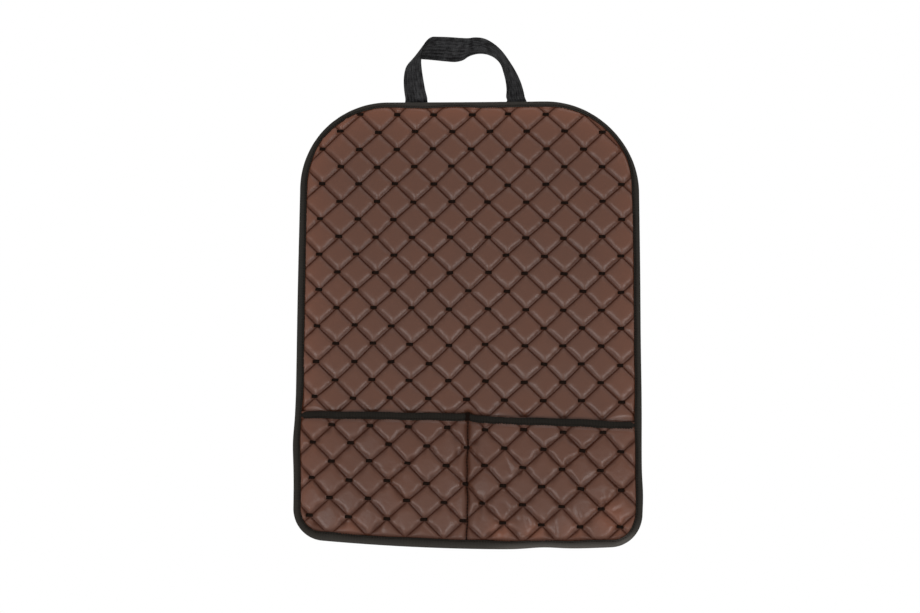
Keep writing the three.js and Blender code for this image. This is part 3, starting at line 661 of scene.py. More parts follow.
def webbing():
    look = webbingLook
    material, add = emptyTree(bpy.data.materials.new("woven_webbing"))
    place = add("TexCoord")
    onStrap = {"Vector": (place, "UV")}
    ribs, weave = (
        add("TexWave", {"Scale": waveScale(pitch), "bands_direction": way, "Distortion": bend}, onStrap)
        for pitch, way, bend in ((look["ribPitch"], "Y", 1.0), (look["weavePitch"], "X", 0.5)))
    drawn = add("Mapping", {"Scale": look["streakScale"]}, onStrap)
    streak = add("TexNoise", {"Scale": 1.0, "Detail": 4.0, "Roughness": 0.65}, {"Vector": (drawn, 0)})
    patch = add("TexNoise", {"Scale": perMetre(look["patchSize"]), "Detail": 3.0},
                {"Vector": (place, "Object")})
    height = add("Math", {"operation": "MULTIPLY_ADD", 1: 0.5}, {0: (weave, "Fac"), 2: (ribs, "Fac")})
    ribbed = add("Math", {"operation": "MULTIPLY_ADD", 1: 0.1}, {0: (height, 0), 2: (streak, "Fac")})
    tone = add("Math", {"operation": "MULTIPLY_ADD", 1: 0.7}, {0: (patch, "Fac"), 2: (ribbed, 0)})
    low, high = look["toneRange"]
    shade = add("MapRange", {"From Min": low, "From Max": high}, {"Value": (tone, 0)})
    dye = add("Mix", {"data_type": "RGBA", 6: colour(look["dark"]), 7: colour(look["base"])},
              {0: (shade, "Result")})
    bump = add("Bump", {"Strength": 0.8, "Distance": look["ribDepth"] * mm}, {"Height": (height, 0)})
    shader = add("BsdfPrincipled", {"Roughness": look["roughness"], "Specular IOR Level": look["specular"]},
                 {"Base Color": (dye, 2), "Normal": (bump, "Normal")})
    add("OutputMaterial", None, {"Surface": (shader, "BSDF")})
    return material


# Polyester sewing thread: dull, near black or dark brown, with twisted plies drawn coarser than real
threadLooks = {
    "black_polyester_thread": {"base": "#090605", "light": "#20150f", "roughness": 0.8},
    "brown_polyester_thread": {"base": "#2c130d", "light": "#43251c", "roughness": 0.7},
}
ply = {"pitch": 1.8, "depth": 0.25, "specular": 0.03}


def sewingThread(name):
    look = threadLooks[name]
    material, add = emptyTree(bpy.data.materials.new(name))
    plies = add("TexWave", {"Scale": waveScale(ply["pitch"]), "bands_direction": "X", "Distortion": 1.0},
                {"Vector": (add("TexCoord"), "UV")})
    shade = add("Mix", {"data_type": "RGBA", 6: colour(look["base"]), 7: colour(look["light"])},
                {0: (plies, "Fac")})
    bump = add("Bump", {"Strength": 0.7, "Distance": ply["depth"] * mm}, {"Height": (plies, "Fac")})
    shader = add("BsdfPrincipled", {"Roughness": look["roughness"], "Specular IOR Level": ply["specular"]},
                 {"Base Color": (shade, 2), "Normal": (bump, "Normal")})
    add("OutputMaterial", None, {"Surface": (shader, "BSDF")})
    return material


# Spun-bonded backing cloth: dull, with a fine embossed dot pattern, random fibres and the faint print of the
# quilting, with painted shade along the seams that press it in
backingLook = {"dark": "#1d1d1e", "light": "#3e3e3f", "imprintShade": "#101010", "dotPitch": 2.4,
               "fibreScale": 260.0, "imprint": 1.8, "imprintHalf": 0.15, "imprintShadeShare": 0.45}


def backingCloth():
    look = backingLook
    material, add = emptyTree(bpy.data.materials.new("spunbond_backing_cloth"))
    place = add("TexCoord")
    onObject = {"Vector": (place, "Object")}
    dots = add("TexVoronoi", {"Scale": perMetre(look["dotPitch"]), "Randomness": 0.15}, onObject)
    fibres = add("TexNoise", {"Scale": look["fibreScale"], "Detail": 6.0, "Roughness": 0.7}, onObject)
    shade = add("Mix", {"data_type": "RGBA", 6: colour(look["dark"]), 7: colour(look["light"])},
                {0: (fibres, "Fac")})
    gaps = []
    for slant in (1, -1):
        slope = (perMetre(quilt["width"]), 0, slant * perMetre(quilt["height"]))
        line = add("VectorMath", {"operation": "DOT_PRODUCT", 1: slope}, {0: (place, "Object")})
        gaps.append(add("Math", {"operation": "PINGPONG", 1: 0.5}, {0: (line, "Value")}))
    nearest = add("Math", {"operation": "MINIMUM"}, {0: (gaps[0], 0), 1: (gaps[1], 0)})
    pillow = add("MapRange", {"interpolation_type": "SMOOTHSTEP", "From Max": look["imprintHalf"]},
                 {"Value": (nearest, 0)})
    # Painted shade along the quilting's seam lines
    imprintShade = add("MapRange", {"To Min": look["imprintShadeShare"], "To Max": 0.0}, {"Value": (pillow, "Result")})
    cloth = add("Mix", {"data_type": "RGBA", 7: colour(look["imprintShade"])},
                {0: (imprintShade, "Result"), 6: (shade, 2)})
    bump = add("Bump", {"Strength": 1.0, "Distance": look["imprint"] * mm}, {"Height": (pillow, "Result")})
    for source, output, strength, depth in ((dots, "Distance", 0.6, 0.2), (fibres, "Fac", 0.5, 0.3)):
        bump = add("Bump", {"Strength": strength, "Distance": depth * mm},
                   {"Height": (source, output), "Normal": (bump, "Normal")})
    shader = add("BsdfPrincipled",
                 {"Roughness": 0.92, "Specular IOR Level": 0.15, "Sheen Weight": 0.2, "Sheen Roughness": 0.6},
                 {"Base Color": (cloth, 2), "Normal": (bump, "Normal")})
    add("OutputMaterial", None, {"Surface": (shader, "BSDF")})
    return material


leather = leatherette()
tape = bindingTape()
webbingCloth = webbing()
blackThread, brownThread = (sewingThread(name) for name in threadLooks)
lining = backingCloth()
print("materials made")


# The panel's back lies in rings of (inset, depth) behind its front
panelBackRings = [(layers["rimInset"], layers["panelEdgeBack"]), (10.2, layers["panelEdgeBack"]),
                  (13.2, layers["panelBack"])]


def makePanel():
    a, b, x, z, quads = quiltGrid(panelQuilt, False)
    front = np.c_[x, -panelFront(a, b, x, z), z]
    points, faces = closeBehind(front, quads, panelBackRings)
    hidden = np.zeros(len(points) - len(a))
    # Marks for the leather: seam lines with painted shade, and painted light towards the edges
    marks = {"seam": np.append(seamAndShadeMark(panelQuilt, a, b), hidden), "rim": np.append(rimLightMark(x, z), hidden)}
    panel = makePiece("quilted_panel_cover", points, faces, marks=marks)
    finishPiece(panel, leather, "leatherette", "quilted_panel")
    print("panel:", len(points), "points")


# The pocket's leather gets painted shade just above the bottom tape, and is darker along the divider's seam
# line
pocketShade = {"share": 0.8, "half": 4.0, "facing": (0.4, 0.9)}


# Front and back of the pocket on the same grid, with walls between their borders
def makePocket():
    a, b, x, z, quads = quiltGrid(pocketQuilt, True)
    count = len(a)
    border = borderEdges(quads)
    walls = np.c_[border[:, 1], border[:, 0], border[:, 0] + count, border[:, 1] + count]
    front = np.c_[x, -pocketFront(a, b, x, z), z]
    back = np.c_[x, -pocketBackAt(x, z), z]
    inset, heading = insetAt(x, z)
    nearTape = bell(np.maximum(inset - tapeWidthAt(x, z, heading), 0), pocketShade["half"])
    shaded = pocketShade["share"] * nearTape * ease(-np.sin(heading), *pocketShade["facing"])
    atDivider = bell(x - dividerAt(z), divider["markHalf"])
    # Dark seam lines with painted shade, painted shade above the bottom tape, and the dark divider seam line
    seamsAndShade = np.maximum.reduce([seamAndShadeMark(pocketQuilt, a, b), shaded, atDivider])
    # Painted light towards the edges, on the pocket's front and back
    marks = {"seam": np.append(seamsAndShade, np.zeros(count)), "rim": np.tile(rimLightMark(x, z), 2)}
    pocket = makePiece("quilted_pocket_cover", np.concatenate([front, back]),
                       [quads, quads[:, ::-1] + count, walls], marks=marks)
    finishPiece(pocket, leather, "leatherette", "quilted_pocket")
    print("pocket:", 2 * count, "points")


makePanel()
makePocket()

# Sizes of stitches (length, width, height) and how far apart they are
rowStitch = {"pitch": 4.0, "size": (3.3, 0.8, 0.55), "sink": 0.15, "tackRoom": 3.6}
topStitch = {"pitch": 3.4, "size": (2.6, 0.7, 0.5), "sink": 0.1}
dividerStitch = {"pitch": 4.2, "size": (3.9, 1.9, 0.9), "sink": 0.1, "bottomGap": 1.5, "topGap": 0.5,
                 "lift": 0.15, "points": 80}


# A stitch: a low lens of thread, five-sided rings that swell in the middle, closed to a point at both ends
def stitchTemplate(length, width, height):
    along = np.array([-0.5, -0.22, 0.22, 0.5]) * length
    swell = np.array([0.25, 1.0, 1.0, 0.25])
    corner = np.array([[-0.5, 0.0], [-0.2, 1.0], [0.2, 1.0], [0.5, 0.0], [0, -0.8]]) * (width, height)
    rings = [np.c_[np.full(5, t), corner * s] for t, s in zip(along, swell)]
    points = np.concatenate([*rings, [[along[0] - 0.1, 0, 0], [along[-1] + 0.1, 0, 0]]])
    ring = np.arange(5)
    step = np.roll(ring, -1)
    sides = [np.c_[ring, step, step + 5, ring + 5] + 5 * k for k in range(3)]
    caps = [np.c_[np.full(5, 20), step, ring, np.full(5, 20)],
            np.c_[np.full(5, 21), ring + 15, step + 15, np.full(5, 21)]]
    return points, np.concatenate([*sides, *caps])


# Lays a stitch at each place along its own direction; its other axes are along x outward and their product
def sewStitches(name, places, along, outward, size, sink, material, *nodes):
    along = along / np.linalg.norm(along, axis=1, keepdims=True)
    across = np.cross(along, outward)
    across /= np.linalg.norm(across, axis=1, keepdims=True)
    up = np.cross(across, along)
    piece = scatter(name, *stitchTemplate(*size), places - up * sink, along, across, up)
    return finishPiece(piece, material, "sewing_thread", *nodes)


# Whether a spot is clear of the edge tape, the mouth and the divider, by the three distances in room
def isClear(look, x, z, room):
    inset, heading = insetAt(x, z)
    isInside = inset > tapeWidthAt(x, z, heading) + room[0]
    if look is panelQuilt:
        return isInside & (z > mouthHeight(x) + room[1])
    isBelow = z < mouthHeight(x) - mouth["tapeWidth"] - room[1]
    return isInside & isBelow & (np.abs(x - dividerAt(z)) >= room[2])


# Rows of stitches in every groove, leaving the tacks free: each lies on the front between its two ends
def sewRows(name, look, front):
    lines = np.arange(-look["span"], look["span"])
    count = round(quiltPitch / rowStitch["pitch"])
    run = (lines[:, None] + (np.arange(count) + 0.5) / count).ravel()
    half = 0.5 * rowStitch["size"][0] / quiltPitch
    spots = []
    for isDown, shift in ((True, 0.0), (False, quilt["upShift"])):
        fixed, moving = (grid.ravel() for grid in np.meshgrid(lines + shift / quiltPitch, run, indexing="ij"))
        isFree = np.abs(moving - np.rint(moving)) * quiltPitch > rowStitch["tackRoom"]
        fixed, moving = fixed[isFree], moving[isFree]
        spots.append([(fixed, moving + k) if isDown else (moving + k, fixed) for k in (0, -half, half)])
    places = []
    for a, b in (np.concatenate(pair, axis=1) for pair in zip(*spots)):
        x, z = quiltPlace(look, a, b)
        places.append(np.c_[x, -front(a, b, x, z), z])
    isShown = isClear(look, places[0][:, 0], places[0][:, 2], look["rowRoom"])
    centre, start, end = (place[isShown] for place in places)
    sewStitches(name, centre, end - start, towardFront, rowStitch["size"], rowStitch["sink"], brownThread)


# A bar tack: a rounded pad of satin stitching, z = rise * (1-|x|^4)^.5 * (1-|y|^3)^.5 over its rectangle
def tackTemplate():
    lineX = np.array([-1, -0.94, -0.75, -0.4, 0, 0.4, 0.75, 0.94, 1.0])
    lineY = np.array([-1, -0.85, -0.4, 0.1, 0.6, 0.9, 1.0])
    gridX, gridY = (grid.ravel() for grid in np.meshgrid(lineX, lineY, indexing="ij"))
    dome = np.sqrt(np.maximum(1 - gridX ** 4, 0)) * np.sqrt(np.maximum(1 - np.abs(gridY) ** 3, 0))
    isRim = (np.abs(gridX) > 0.99) | (np.abs(gridY) > 0.99)
    height = np.where(isRim, -tack["sink"], tack["rise"] * dome)
    top = np.c_[gridX * tack["width"] / 2, gridY * tack["height"] / 2, height]
    quads = gridFaces(len(lineX), len(lineY))
    border = borderEdges(quads)
    fan = np.c_[border[:, 1], border[:, 0], np.full(len(border), len(top)), border[:, 1]]
    return np.append(top, [[0, 0, -tack["sink"] - 0.2]], axis=0), np.concatenate([quads, fan])


# A tack on every crossing that is clear, each turned, moved and sized a little by chance
def sewTacks(name, look, front):
    reach = np.arange(-look["span"], look["span"])
    a, b = (grid.ravel().astype(float) for grid in np.meshgrid(reach, reach))
    x, z = quiltPlace(look, a, b)
    isShown = isClear(look, x, z, look["tackRoom"])
    a, b, x, z = a[isShown], b[isShown], x[isShown], z[isShown]
    rng = np.random.default_rng(look["seed"] + 40)
    turn = look["turn"] + rng.normal(0, tack["turn"], len(a))
    shift = rng.normal(0, tack["shift"], (2, len(a)))
    along = np.c_[np.cos(turn), 0 * turn, np.sin(turn)] * rng.uniform(0.92, 1.08, (len(a), 1))
    across = np.c_[-np.sin(turn), 0 * turn, np.cos(turn)] * rng.uniform(0.9, 1.1, (len(a), 1))
    places = np.c_[x + shift[0], -front(a, b, x, z), z + shift[1]]
    piece = scatter(name, *tackTemplate(), places, along, across, np.tile(towardFront, (len(a), 1)))
    finishPiece(piece, blackThread, "sewing_thread")
    print(name, len(a))


quiltedLayers = (("panel", panelQuilt, panelFront), ("pocket", pocketQuilt, pocketFront))
for layer, look, front in quiltedLayers:
    sewRows(layer + "_quilting_stitches", look, front)
for layer, look, front in quiltedLayers:
    sewTacks(layer + "_tacks", look, front)
print("quilting sewn")


# Closed skin over rings of points (n, m, 3), joined round, and end to end where isLoop, or else with a fan of
# triangles over each end. UV: the distance run and the distance around
def sweepRings(name, rings, isLoop, run, around, marks=None):
    count, size = rings.shape[:2]
    points = rings.reshape(-1, 3)
    faces = [gridFaces(count, size, isRound=True, isLoop=isLoop)]
    uv = np.zeros((len(run) - 1, size, 4, 2))
    uv[..., 0] = np.stack([run[:-1], run[1:], run[1:], run[:-1]], -1)[:, None]
    uv[..., 1] = np.stack([around[:-1], around[:-1], around[1:], around[1:]], -1)
    uvs = [uv.reshape(-1, 4, 2)]
    if not isLoop:
        j = np.arange(size)
        step = np.roll(j, -1)
        end = (count - 1) * size
        faces.append(np.c_[j, step, np.full(size, len(points))])
        faces.append(np.c_[step + end, j + end, np.full(size, len(points) + 1)])
        points = np.concatenate([points, [rings[0].mean(0), rings[-1].mean(0)]])
        uvs.append(np.zeros((2 * size, 3, 2)))
    return makePiece(name, points, faces, uvs, marks)


# How every tape is folded: its thickness, the depth of the fold, its swell, and the dip where it is stitched
binding = {"thickness": 1.0, "fold": 2.4, "puff": 0.45, "seamDip": 0.35, "seamInset": 2.0, "threadLift": 0.1,
           "closing": 40.0}


# Section of a folded tape as (inset, depth): back leg, rounded fold, front leg with its seam dip, and inside
def tapeSection(width, backWidth, low, high):
    fold, puff, dip, seam = (binding[key] for key in ("fold", "puff", "seamDip", "seamInset"))
    legs = [
        (backWidth, low + 0.3), (backWidth - 0.5, low), (backWidth - seam, low + dip), (backWidth - 3.4, low),
        (0.5 * backWidth, low), (fold + 0.4, low),
    ]
    bend = [(fold * (1 - math.cos(t)), (low + high) / 2 + (high - low) / 2 * math.sin(t))
            for t in np.radians([-60, -35, -12, 12, 35, 60])]
    top = [
        (fold + 0.4, high + 0.15 * puff), (0.42 * width, high + puff), (0.62 * width, high + 0.8 * puff),
        (width - 3.2, high + 0.3 * puff), (width - seam, high - dip), (width - 0.7, high - 0.05),
        (width, high - 0.35), (width - 0.1, high - 0.9), (1.2, high - binding["thickness"]),
        (1.2, low + binding["thickness"]), (backWidth - 0.1, low + 0.9),
    ]
    rows = [np.stack(np.broadcast_arrays(inset, depth, width)[:2], -1)
            for inset, depth in [*legs, *bend, *top]]
    return np.stack(rows, axis=-2)


# The edge tape's fronts below and above the mouth, its back leg, and its puckers, stronger at the corners
edgeTape = {"step": 2.2, "lowFront": 9.7, "highFront": 7.2, "blend": 26.0, "unevenRise": 0.15,
            "unevenSize": 40, "backWidth": 9.6, "backUneven": 0.4, "backUnevenSize": 60, "pucker": 0.16,
            "puckerLength": 3.1, "puckerDrift": 19.0}


# Depth of the tape's front: from the low to the high front over blend mm above the mouth
def edgeTapeFront(x, z):
    share = ease((z - mouthHeight(x)) / edgeTape["blend"])
    front = edgeTape["lowFront"] + (edgeTape["highFront"] - edgeTape["lowFront"]) * share
    return front + edgeTape["unevenRise"] * ripple(x, z, edgeTape["unevenSize"], 51)


def edgeTapeBackWidth(x, z):
    return edgeTape["backWidth"] + edgeTape["backUneven"] * ripple(x, z, edgeTape["backUnevenSize"], 52)


# Painted sheen that makes the tape pale: a share by heading, with more at the lower right, that falls from
# the outer edge inwards
def tapeSheen(x, z, heading, inset, width):
    rolled = atHeading(heading, edgeTapeLook["worn"])
    overX, overZ = edgeTapeLook["sheenOver"]
    rolled = rolled + edgeTapeLook["sheenBottomRight"] * ease(x, *overX) * ease(-z, *overZ)
    inside = atHeading(heading, edgeTapeLook["sheenInside"])
    outside = np.clip(1 - (inset - 2) / (width[:, None] - 3), 0, 1)
    return rolled[:, None] * (inside[:, None] + (1 - inside[:, None]) * outside)


x, z, heading, run = outlineStations(edgeTape["step"])
width = tapeWidthAt(x, z, heading)
backWidth = edgeTapeBackWidth(x, z)
wave = np.sin(run[:-1] / edgeTape["puckerLength"] + 1.2 * np.sin(run[:-1] / edgeTape["puckerDrift"]))
pucker = edgeTape["pucker"] * wave * (0.35 + np.abs(np.sin(2 * heading)) ** 0.5)
section = tapeSection(width, backWidth, 0.0, edgeTapeFront(x, z) + pucker)
rings = movedIn(x[:, None], z[:, None], heading[:, None], section[..., 0], section[..., 1])
around = np.append(runAlong(section[0]), binding["closing"])
# Painted sheen on the tape's rolled outer edge
worn = tapeSheen(x, z, heading, section[..., 0], width)
piece = sweepRings("edge_binding_tape", rings, True, run, around, {"worn": worn.ravel()})
finishPiece(piece, tape, "binding_tape", "edge_binding")

# The mouth tape: how far it wraps the pocket's cloth, dips at its ends and under the divider's knot, where
# it is also drawn up, and how its top and its width differ from the plain ones
mouthTape = {"endInset": 6.5, "columns": 240, "wrap": 1.3, "endDip": 1.4, "endFrom": 13.0, "endSoft": 4.0,
             "knotDip": 0.5, "knotDipHalf": 4.0, "knotRise": 1.2, "knotRiseHalf": 6.0, "topDrop": 0.8,
             "trim": 0.6, "uneven": 0.5, "unevenWidth": 0.35, "stitchedFrom": 9, "stitchedPoints": 200}


# Upper line of the mouth and the tape's width below it, both uneven from hand sewing
def mouthTapeLines(x):
    top = mouthHeight(x) + mouthTape["uneven"] * ripple(x, 0 * x, 60, 61)
    return top, mouth["tapeWidth"] + mouthTape["unevenWidth"] * ripple(x, 0 * x, 50, 62)


# Depth of the mouth tape's front: that of the pocket's cloth and the wrap, less the dips
def mouthTapeFront(x):
    base = pocketBackAt(x, mouthHeight(x)) + layers["pocketFloor"] + mouthTape["wrap"]
    ends = ease(halfWidth - mouthTape["endFrom"] - np.abs(x), -mouthTape["endSoft"], mouthTape["endSoft"])
    knotDip = mouthTape["knotDip"] * bell(x - mouth["dividerX"], mouthTape["knotDipHalf"])
    return base - mouthTape["endDip"] * (1 - ends) - knotDip


reach = halfWidth - mouthTape["endInset"]
x = np.linspace(-reach, reach, mouthTape["columns"])
top, width = mouthTapeLines(x)
knotRise = mouthTape["knotRise"] * bell(x - mouth["dividerX"], mouthTape["knotRiseHalf"])
top = top - mouthTape["topDrop"] + knotRise
low = pocketBackAt(x, mouthHeight(x)) - mouthTape["wrap"]
section = tapeSection(width - mouthTape["trim"], mouth["tapeWidth"], low, mouthTapeFront(x))
rings = movedIn(x[:, None], top[:, None], math.pi / 2, section[..., 0], section[..., 1])
piece = sweepRings("pocket_binding_tape", rings, False, runAlong(np.c_[x, top]), around)
finishPiece(piece, tape, "binding_tape", "pocket_binding")
print("tapes folded")


# Stitches along a path of points, each between two points of the path that are its own length apart
def stitchAlong(name, path, outward, look, *nodes):
    run = runAlong(path)
    count = int(run[-1] / look["pitch"])
    at = (np.arange(count) + 0.5) * run[-1] / count
    half = look["size"][0] / 2
    centre, start, end = (np.stack([np.interp(at + shift, run, line) for line in path.T], -1)
                          for shift in (0, -half, half))
    sewStitches(name, centre, end - start, outward, look["size"], look["sink"], blackThread, *nodes)


x, z, heading, _ = outlineStations(edgeTape["step"])
threadSink = binding["seamDip"] - binding["threadLift"]
frontInset = tapeWidthAt(x, z, heading) - binding["seamInset"]
front = movedIn(x, z, heading, frontInset, edgeTapeFront(x, z) - threadSink)
back = movedIn(x, z, heading, edgeTapeBackWidth(x, z) - binding["seamInset"], threadSink)
stitchAlong("edge_binding_front_stitches", front, towardFront, topStitch)
stitchAlong("edge_binding_back_stitches", back, towardBack, topStitch)
reach = halfWidth - mouthTape["stitchedFrom"]
x = np.linspace(-reach, reach, mouthTape["stitchedPoints"])
top, width = mouthTapeLines(x)
path = np.c_[x, threadSink - mouthTapeFront(x), top - width + binding["seamInset"]]
stitchAlong("pocket_binding_stitches", path, towardFront, topStitch)

# The divider's row of stitches runs on its strip from the bottom tape to the mouth tape
lowest = bottomHeight(mouth["dividerX"]) + dividerStitch["bottomGap"]
highest = mouth["middleZ"] - mouth["tapeWidth"] - dividerStitch["topGap"]
z = np.linspace(lowest, highest, dividerStitch["points"])
stripDepth = layers["pocketEdgeBack"] + layers["dividerFloor"] + dividerStitch["lift"]
path = np.c_[dividerAt(z), np.full(len(z), -stripDepth), z]
stitchAlong("divider_stitches", path, towardFront, dividerStitch, "divider_stitching")

knot = {"stitches": 13, "size": (6.5, 1.3, 1.5), "height": 10.5, "rise": 0.6, "lift": 0.9, "shift": 0.25,
        "tilt": 0.08, "seed": 71}


# Dense tack over the mouth tape: a column of satin stitches side by side, a little uneven
def sewKnot():
    count = knot["stitches"]
    rng = np.random.default_rng(knot["seed"])
    z = mouth["middleZ"] + knot["rise"] - knot["height"] * (np.arange(count) + 0.5) / count
    depth = layers["pocketEdgeBack"] + layers["pocketFloor"] + knot["lift"]
    places = np.c_[mouth["dividerX"] + rng.normal(0, knot["shift"], count), np.full(count, -depth), z]
    tilt = rng.normal(0, knot["tilt"], count)
    along = np.c_[np.cos(tilt), 0 * tilt, np.sin(tilt)]
    sewStitches("divider_knot", places, along, towardFront, knot["size"], 0, blackThread, "divider_bar_tack")


sewKnot()
print("tapes and divider stitched")

# The strap's free part as stations: share of the span, y, share of the rise, and the way across in widths
strap = {
    "thickness": 1.6, "width": 32.0, "lap": 12.0, "lift": 2.6, "rise": 80.0, "leftX": -70.9, "rightX": 64.4,
    "fit": 0.3, "steps": 220, "columns": 21, "leftShares": (1, 0.98, 0.95), "rightShares": (1, 0.86, 0.8),
    "freeFrom": (0.06, 0.16), "bow": 0.5, "bowLength": 37.0,
    "stations": [
        [0, -0.5, 0.087, 0.95, -0.28, -0.03], [-0.014, -3.2, 0.216, 0.95, -0.48, -0.2],
        [-0.026, -4.8, 0.391, 0.89, -0.58, -0.17], [-0.031, -5.5, 0.539, 0.8, -0.66, -0.02],
        [-0.027, -4.5, 0.673, 0.71, -0.72, 0.08], [-0.006, -1.5, 0.806, 0.64, -0.72, 0.31],
        [0.034, 3, 0.928, 0.61, -0.62, 0.64], [0.08, 8.5, 0.991, 0.59, -0.41, 0.83],
        [0.14, 12.5, 1.006, 0.56, -0.22, 0.92], [0.214, 14.5, 1.004, 0.44, -0.09, 0.99],
        [0.308, 15.5, 0.992, 0.3, -0.03, 1.04], [0.409, 14.5, 0.974, 0.22, -0.09, 1.02],
        [0.482, 12.2, 0.975, 0.23, -0.27, 0.88], [0.552, 9, 1.001, 0.27, -0.5, 0.66],
        [0.641, 4.5, 0.991, 0.3, -0.72, 0.43], [0.734, 1.5, 0.93, 0.3, -0.84, 0.21],
        [0.817, 0, 0.824, 0.32, -0.88, 0.03], [0.882, -1, 0.681, 0.4, -0.88, -0.15],
        [0.931, -1, 0.511, 0.53, -0.81, -0.19], [0.966, -0.5, 0.344, 0.64, -0.72, -0.22],
        [0.986, -0.5, 0.181, 0.73, -0.4, -0.19], [0.99, 0, 0.081, 0.79, -0.2, -0.1],
    ],
}


# Centripetal Catmull-Rom curve through points, at shares t of its knots
def curveAt(points, t):
    padded = np.concatenate([[2 * points[0] - points[1]], points, [2 * points[-1] - points[-2]]])
    at = t * (len(points) - 1)
    i = np.minimum(at.astype(int), len(points) - 2)
    w = (at - i)[:, None]
    p0, p1, p2, p3 = (padded[i + k] for k in range(4))
    g0, g1, g2 = (np.linalg.norm(q - p, axis=1)[:, None] ** 0.5 for p, q in ((p0, p1), (p1, p2), (p2, p3)))
    t1 = ((p1 - p0) / g0 - (p2 - p0) / (g0 + g1) + (p2 - p1) / g1) * g1
    t2 = ((p2 - p1) / g1 - (p3 - p1) / (g1 + g2) + (p3 - p2) / g2) * g1
    return p1 + t1 * w + (3 * (p2 - p1) - 2 * t1 - t2) * w ** 2 + (2 * (p1 - p2) + t1 + t2) * w ** 3


# The webbing's two edges: curves half a width to either side of the stations and of the flat ends on the back
def strapEdges(t):
    route, legs = [], []
    for span, y, rise, *across in strap["stations"]:
        x = strap["leftX"] + (strap["rightX"] - strap["leftX"]) * span
        route.append([x, y, topZ + rise * strap["rise"], *across])
    for x, shares in ((strap["leftX"], strap["leftShares"]), (strap["rightX"], strap["rightShares"])):
        lifts = zip((-strap["lap"], 0, strap["lift"]), shares)
        depth = strap["fit"] + strap["thickness"] / 2
        legs.append([[x, depth, topZ + lift, share, 0, 0] for lift, share in lifts])
    rows = np.array([*legs[0], *route, *legs[1][::-1]])
    return [curveAt(rows[:, :3] + side * strap["width"] / 2 * rows[:, 3:], t) for side in (-1, 1)]


# Webbing: a ruled surface between the two edge curves, thickened, with a raised selvedge and a soft bow:
# half thickness 0.86 + 0.14 |c|^6, thinned by half at the very edge as |c|^30, with c from -1 to 1 across
def makeStrap():
    t = np.linspace(0, 1, strap["steps"])
    first, second = strapEdges(t)
    middle = (first + second) / 2
    normal = np.cross(second - first, np.gradient(middle, axis=0))
    normal = (normal / np.linalg.norm(normal, axis=1, keepdims=True))[:, None]
    run = runAlong(middle)
    across = np.linspace(0, 1, strap["columns"])
    side = np.abs(2 * across - 1)
    free = ease(np.minimum(t, 1 - t), *strap["freeFrom"]) * np.sin(run / strap["bowLength"])
    bow = strap["bow"] * free[:, None] * np.sin(math.pi * across)
    thick = strap["thickness"] / 2 * (0.86 + 0.14 * side ** 6) * (1 - 0.5 * side ** 30)
    base = first[:, None] + (second - first)[:, None] * across[:, None] + normal * bow[..., None]
    offset = normal * thick[:, None]
    rings = np.concatenate([base + offset, (base - offset)[:, ::-1]], axis=1)
    around = np.concatenate([across, 1 + across, [2]]) * strap["width"]
    piece = sweepRings("hanging_strap_webbing", rings, False, run, around)
    finishPiece(piece, webbingCloth, "webbing", "hanging_strap")


# Rows of zigzag stitching that hold a strap end on the back: heights above the end, points in a row, zigzag
strapSeam = {"levels": (-10.2, -7.4, -1.6), "points": 31, "margin": 2.6, "zigzag": 0.9,
             "size": (2.7, 0.75, 0.6), "lift": 0.05, "longest": 4.0}


# Each stitch joins two neighbours of the zigzag; the rows run to and fro, without the turns between them
def sewStrapEnd(side, legX):
    half = strap["width"] / 2 - strapSeam["margin"]
    count = strapSeam["points"]
    zigzag = strapSeam["zigzag"] * (-1.0) ** np.arange(count)
    y = np.full(count, strap["fit"] + strap["thickness"] + strapSeam["lift"])
    x = legX + np.linspace(-half, half, count)
    rows = [np.c_[x, y, topZ + level + zigzag] for level in strapSeam["levels"]]
    path = np.concatenate([rows[0], rows[1][::-1], rows[2]])
    start, end = path[:-1], path[1:]
    isShort = np.linalg.norm(end - start, axis=1) < strapSeam["longest"]
    start, end = start[isShort], end[isShort]
    sewStitches("strap_end_stitches_" + side, (start + end) / 2, end - start, towardBack,
                strapSeam["size"], 0, blackThread, "strap_stitching_" + side)


makeStrap()
sewStrapEnd("left", strap["leftX"])
sewStrapEnd("right", strap["rightX"])
print("strap sewn")

# The back cloth: rings of (inset, depth) from under the tape, then shares of the way to the centre
liningLook = {
    "step": 5, "hem": [(1.5, 1.35), (5, 1.35), (9.4, 1.3), (10.6, 1.0), (12.6, 0.15), (15, 0.02)],
    "shares": (0.03, 0.985, 40), "thickness": 0.55, "slack": ((0.18, 55, 81), (0.1, 17, 82)),
    "pucker": 0.22, "puckerLength": 2.6, "puckerAt": 14, "puckerHalf": 5, "slackOver": (11, 15),
}


